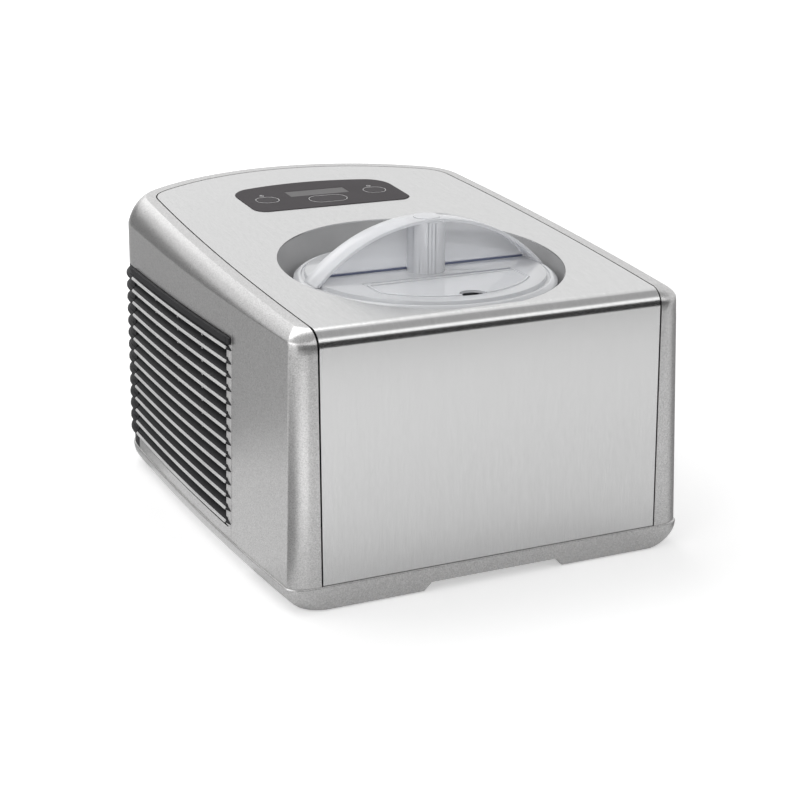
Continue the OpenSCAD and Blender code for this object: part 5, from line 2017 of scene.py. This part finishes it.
CARDS = (
    standing_card("front_flag", ((-0.9, -1.05), (2.6, -1.05)), 0.64, 0.04),
    Card("roof_flag", [(-1.6, -2.0, 2.45), (3.6, -2.0, 2.45), (3.6, 0.3, 2.45), (-1.6, 0.3, 2.45)], 0.5),
    standing_card("horizon_flag", ((-2.6, 1.6), (-0.2, 2.7)), 0.75, 0.12),
    floor_card("right_flag", [(0.17, -0.2), (1.3, -0.4), (1.3, 1.0), (0.17, 1.0)], 0.3),
    floor_card("left_flag", [(-0.15, 0.14), (-0.15, 1.5), (-1.7, 1.5), (-0.6, 0.14)], 0.42),
    floor_card("left_bounce", [(-0.14, 0.1), (-0.6, 0.1), (-0.6, -0.12), (-0.14, -0.12)], 0.85),
    floor_card("corner_flag", [(-0.2, -0.15), (-0.8, -0.15), (-0.8, -0.65), (-0.24, -0.36)], 0.24),
    floor_card("bounce", [(-0.24, -0.4), (-0.62, -0.85), (-0.3, -1.0), (-0.09, -0.4)], 1.9),
    Card("key_card", [(-0.8, -1.93, 1.23), (2.6, -1.93, 1.23), (2.6, -2.43, 2.03), (-0.8, -2.43, 2.03)], 1.3),
)
LAMPS = (
    Lamp("key", (0.9, -2.25, 1.65), (0.9, 0.0, 0.2), (3.4, 0.95), 6.0),
    Lamp("back_light", (-0.15, 2.4, 1.25), (0.0, 0.0, 0.15), (1.0, 0.7), 2.0),
    Lamp("left_light", (-1.9, -0.9, 1.2), (0.0, 0.0, 0.1), (1.4, 1.1), 8.0),
    Lamp("top_light", (-0.4, 0.9, 2.3), (0.0, 0.0, 0.1), (2.4, 1.0), 22.0),
)


@dataclass
class Studio:
    """The pale floor, the soft lights and the camera."""

    lens: float = 86.993
    place: Point = (-599.5, -1248.9, 520.9)
    azimuth: float = 26.58
    elevation: float = 18.04
    roll: float = 0.706
    world: float = 0.5
    floor_half: float = 6000.0

    def camera(self) -> None:
        """Sets up the camera."""
        data = bpy.data.cameras.new("camera")
        data.lens = self.lens
        data.sensor_width = 36.0
        data.sensor_fit = "HORIZONTAL"
        data.clip_start, data.clip_end = 0.05, 60.0
        az, el, ro = (math.radians(a) for a in (self.azimuth, self.elevation, self.roll))
        forward = Vector((math.sin(az) * math.cos(el), math.cos(az) * math.cos(el), -math.sin(el)))
        right = Vector((math.cos(az), -math.sin(az), 0.0))
        up = right.cross(forward)
        right, up = math.cos(ro) * right + math.sin(ro) * up, -math.sin(ro) * right + math.cos(ro) * up
        turn = Matrix((right, up, -forward)).transposed()
        rig = bpy.data.objects.new("camera", data)
        rig.matrix_world = Matrix.Translation(Vector(self.place) * MM) @ turn.to_4x4()
        bpy.context.scene.collection.objects.link(rig)
        bpy.context.scene.camera = rig

    def lamp(self, lamp: Lamp) -> None:
        """Adds a light.

        Args:
            lamp: The light.
        """
        data = bpy.data.lights.new(lamp.name, "AREA")
        data.shape = "RECTANGLE"
        data.size, data.size_y = lamp.size
        data.energy = lamp.power
        rig = bpy.data.objects.new(lamp.name, data)
        rig.location = lamp.place
        rig.rotation_mode = "QUATERNION"
        rig.rotation_quaternion = (Vector(lamp.place) - Vector(lamp.aim)).to_track_quat("Z", "Y")
        bpy.context.scene.collection.objects.link(rig)

    def card(self, card: Card) -> None:
        """Adds a card that is only seen in reflections.

        Args:
            card: The card.
        """
        n = Nodes(card.name)
        glow = n.add("ShaderNodeEmission", Color=(1.0, 1.0, 1.0, 1.0), Strength=card.level)
        n.put(n.output, "Surface", glow.outputs[0])
        points = [tuple(v / MM for v in corner) for corner in card.corners]
        piece = make_piece(card.name, points, [(0, 1, 2, 3)], n.material)
        piece.visible_camera = False
        piece.visible_diffuse = False
        piece.visible_transmission = False
        piece.visible_shadow = False

    def surroundings(self) -> None:
        """A white background for the camera, glass and reflections, and a softer one for light."""
        world = bpy.data.worlds.new("studio_world")
        bpy.context.scene.world = world
        world.use_nodes = True
        tree = world.node_tree
        tree.nodes.clear()
        out = tree.nodes.new("ShaderNodeOutputWorld")
        rays = tree.nodes.new("ShaderNodeLightPath")
        light = tree.nodes.new("ShaderNodeBackground")
        light.inputs["Strength"].default_value = self.world
        result = light.outputs[0]
        for ray, strength in (("Is Glossy Ray", 1.0), ("Is Transmission Ray", 1.0), ("Is Camera Ray", 1.05)):
            seen = tree.nodes.new("ShaderNodeBackground")
            seen.inputs["Color"].default_value = (1.0, 1.0, 1.0, 1.0)
            seen.inputs["Strength"].default_value = strength
            mix = tree.nodes.new("ShaderNodeMixShader")
            tree.links.new(rays.outputs[ray], mix.inputs[0])
            tree.links.new(result, mix.inputs[1])
            tree.links.new(seen.outputs[0], mix.inputs[2])
            result = mix.outputs[0]
        light.inputs["Color"].default_value = (1.0, 1.0, 1.0, 1.0)
        tree.links.new(result, out.inputs["Surface"])

    def floor(self) -> None:
        """A plain pale floor that keeps the shadow and looks white to the camera."""
        half = self.floor_half
        n = Nodes("pale_floor")
        n.put(n.shader, "Base Color", (0.8, 0.8, 0.8, 1.0))
        n.put(n.shader, "Roughness", 0.9)
        n.put(n.shader, "Specular IOR Level", 0.0)
        rays = n.add("ShaderNodeLightPath")
        apart = n.add("ShaderNodeSeparateXYZ", Vector=n.add("ShaderNodeTexCoord").outputs["Object"])
        # Each row: the ray, where the ramp along Y starts and ends in metres, and its levels there.
        ramps = (("Is Glossy Ray", -0.9, 0.15, 0.48, 0.0), ("Is Camera Ray", 0.25, 1.4, 0.44, 0.75))
        both = n.add("ShaderNodeMath", {"operation": "ADD"})
        for k, (ray, start, end, near, far) in enumerate(ramps):
            ramp = n.add("ShaderNodeMapRange", {"interpolation_type": "SMOOTHSTEP"}, Value=apart.outputs["Y"])
            for key, value in (("From Min", start), ("From Max", end), ("To Min", near), ("To Max", far)):
                ramp.inputs[key].default_value = value
            share = n.add("ShaderNodeMath", {"operation": "MULTIPLY"})
            n.put(share, 0, rays.outputs[ray])
            n.put(share, 1, ramp.outputs["Result"])
            n.put(both, k, share.outputs[0])
        glow = n.add("ShaderNodeEmission", Color=(1.0, 1.0, 1.0, 1.0), Strength=both.outputs[0])
        joined = n.add("ShaderNodeAddShader")
        n.put(joined, 0, n.shader.outputs[0])
        n.put(joined, 1, glow.outputs[0])
        n.put(n.output, "Surface", joined.outputs[0])
        corners = [(-half, -half, 0), (half, -half, 0), (half, half, 0), (-half, half, 0)]
        piece = make_piece("floor", corners, [(0, 1, 2, 3)], n.material)

    def build(self) -> None:
        """Builds the studio."""
        self.camera()
        self.surroundings()
        self.floor()
        for card in CARDS:
            self.card(card)
        for lamp in LAMPS:
            self.lamp(lamp)
        bpy.context.scene.view_settings.view_transform = "Standard"


def main() -> None:
    """Builds the ice cream maker's looks, piece by piece."""
    logging.basicConfig(level=logging.INFO, format="%(message)s")
    plan = BodyPlan()
    axis = (0.0, plan.front_y + 103.2)
    looks = Wardrobe(axis)
    panel = ControlPanel(plan)
    InnerWorks().dress(frame["nodes"], looks)
    FloorTray(plan).build(looks)
    MouldedShell(plan).build(looks)
    SteelSheet(plan).build(looks, panel.outline(0.3))
    RecessCollar(plan).build(looks)
    Grilles(plan).build(looks)
    ClearLid(axis).build(looks)
    SpunBowl(axis).build(looks)
    panel.build(looks)
    Studio().build()


if __name__ == "__main__":
    main()
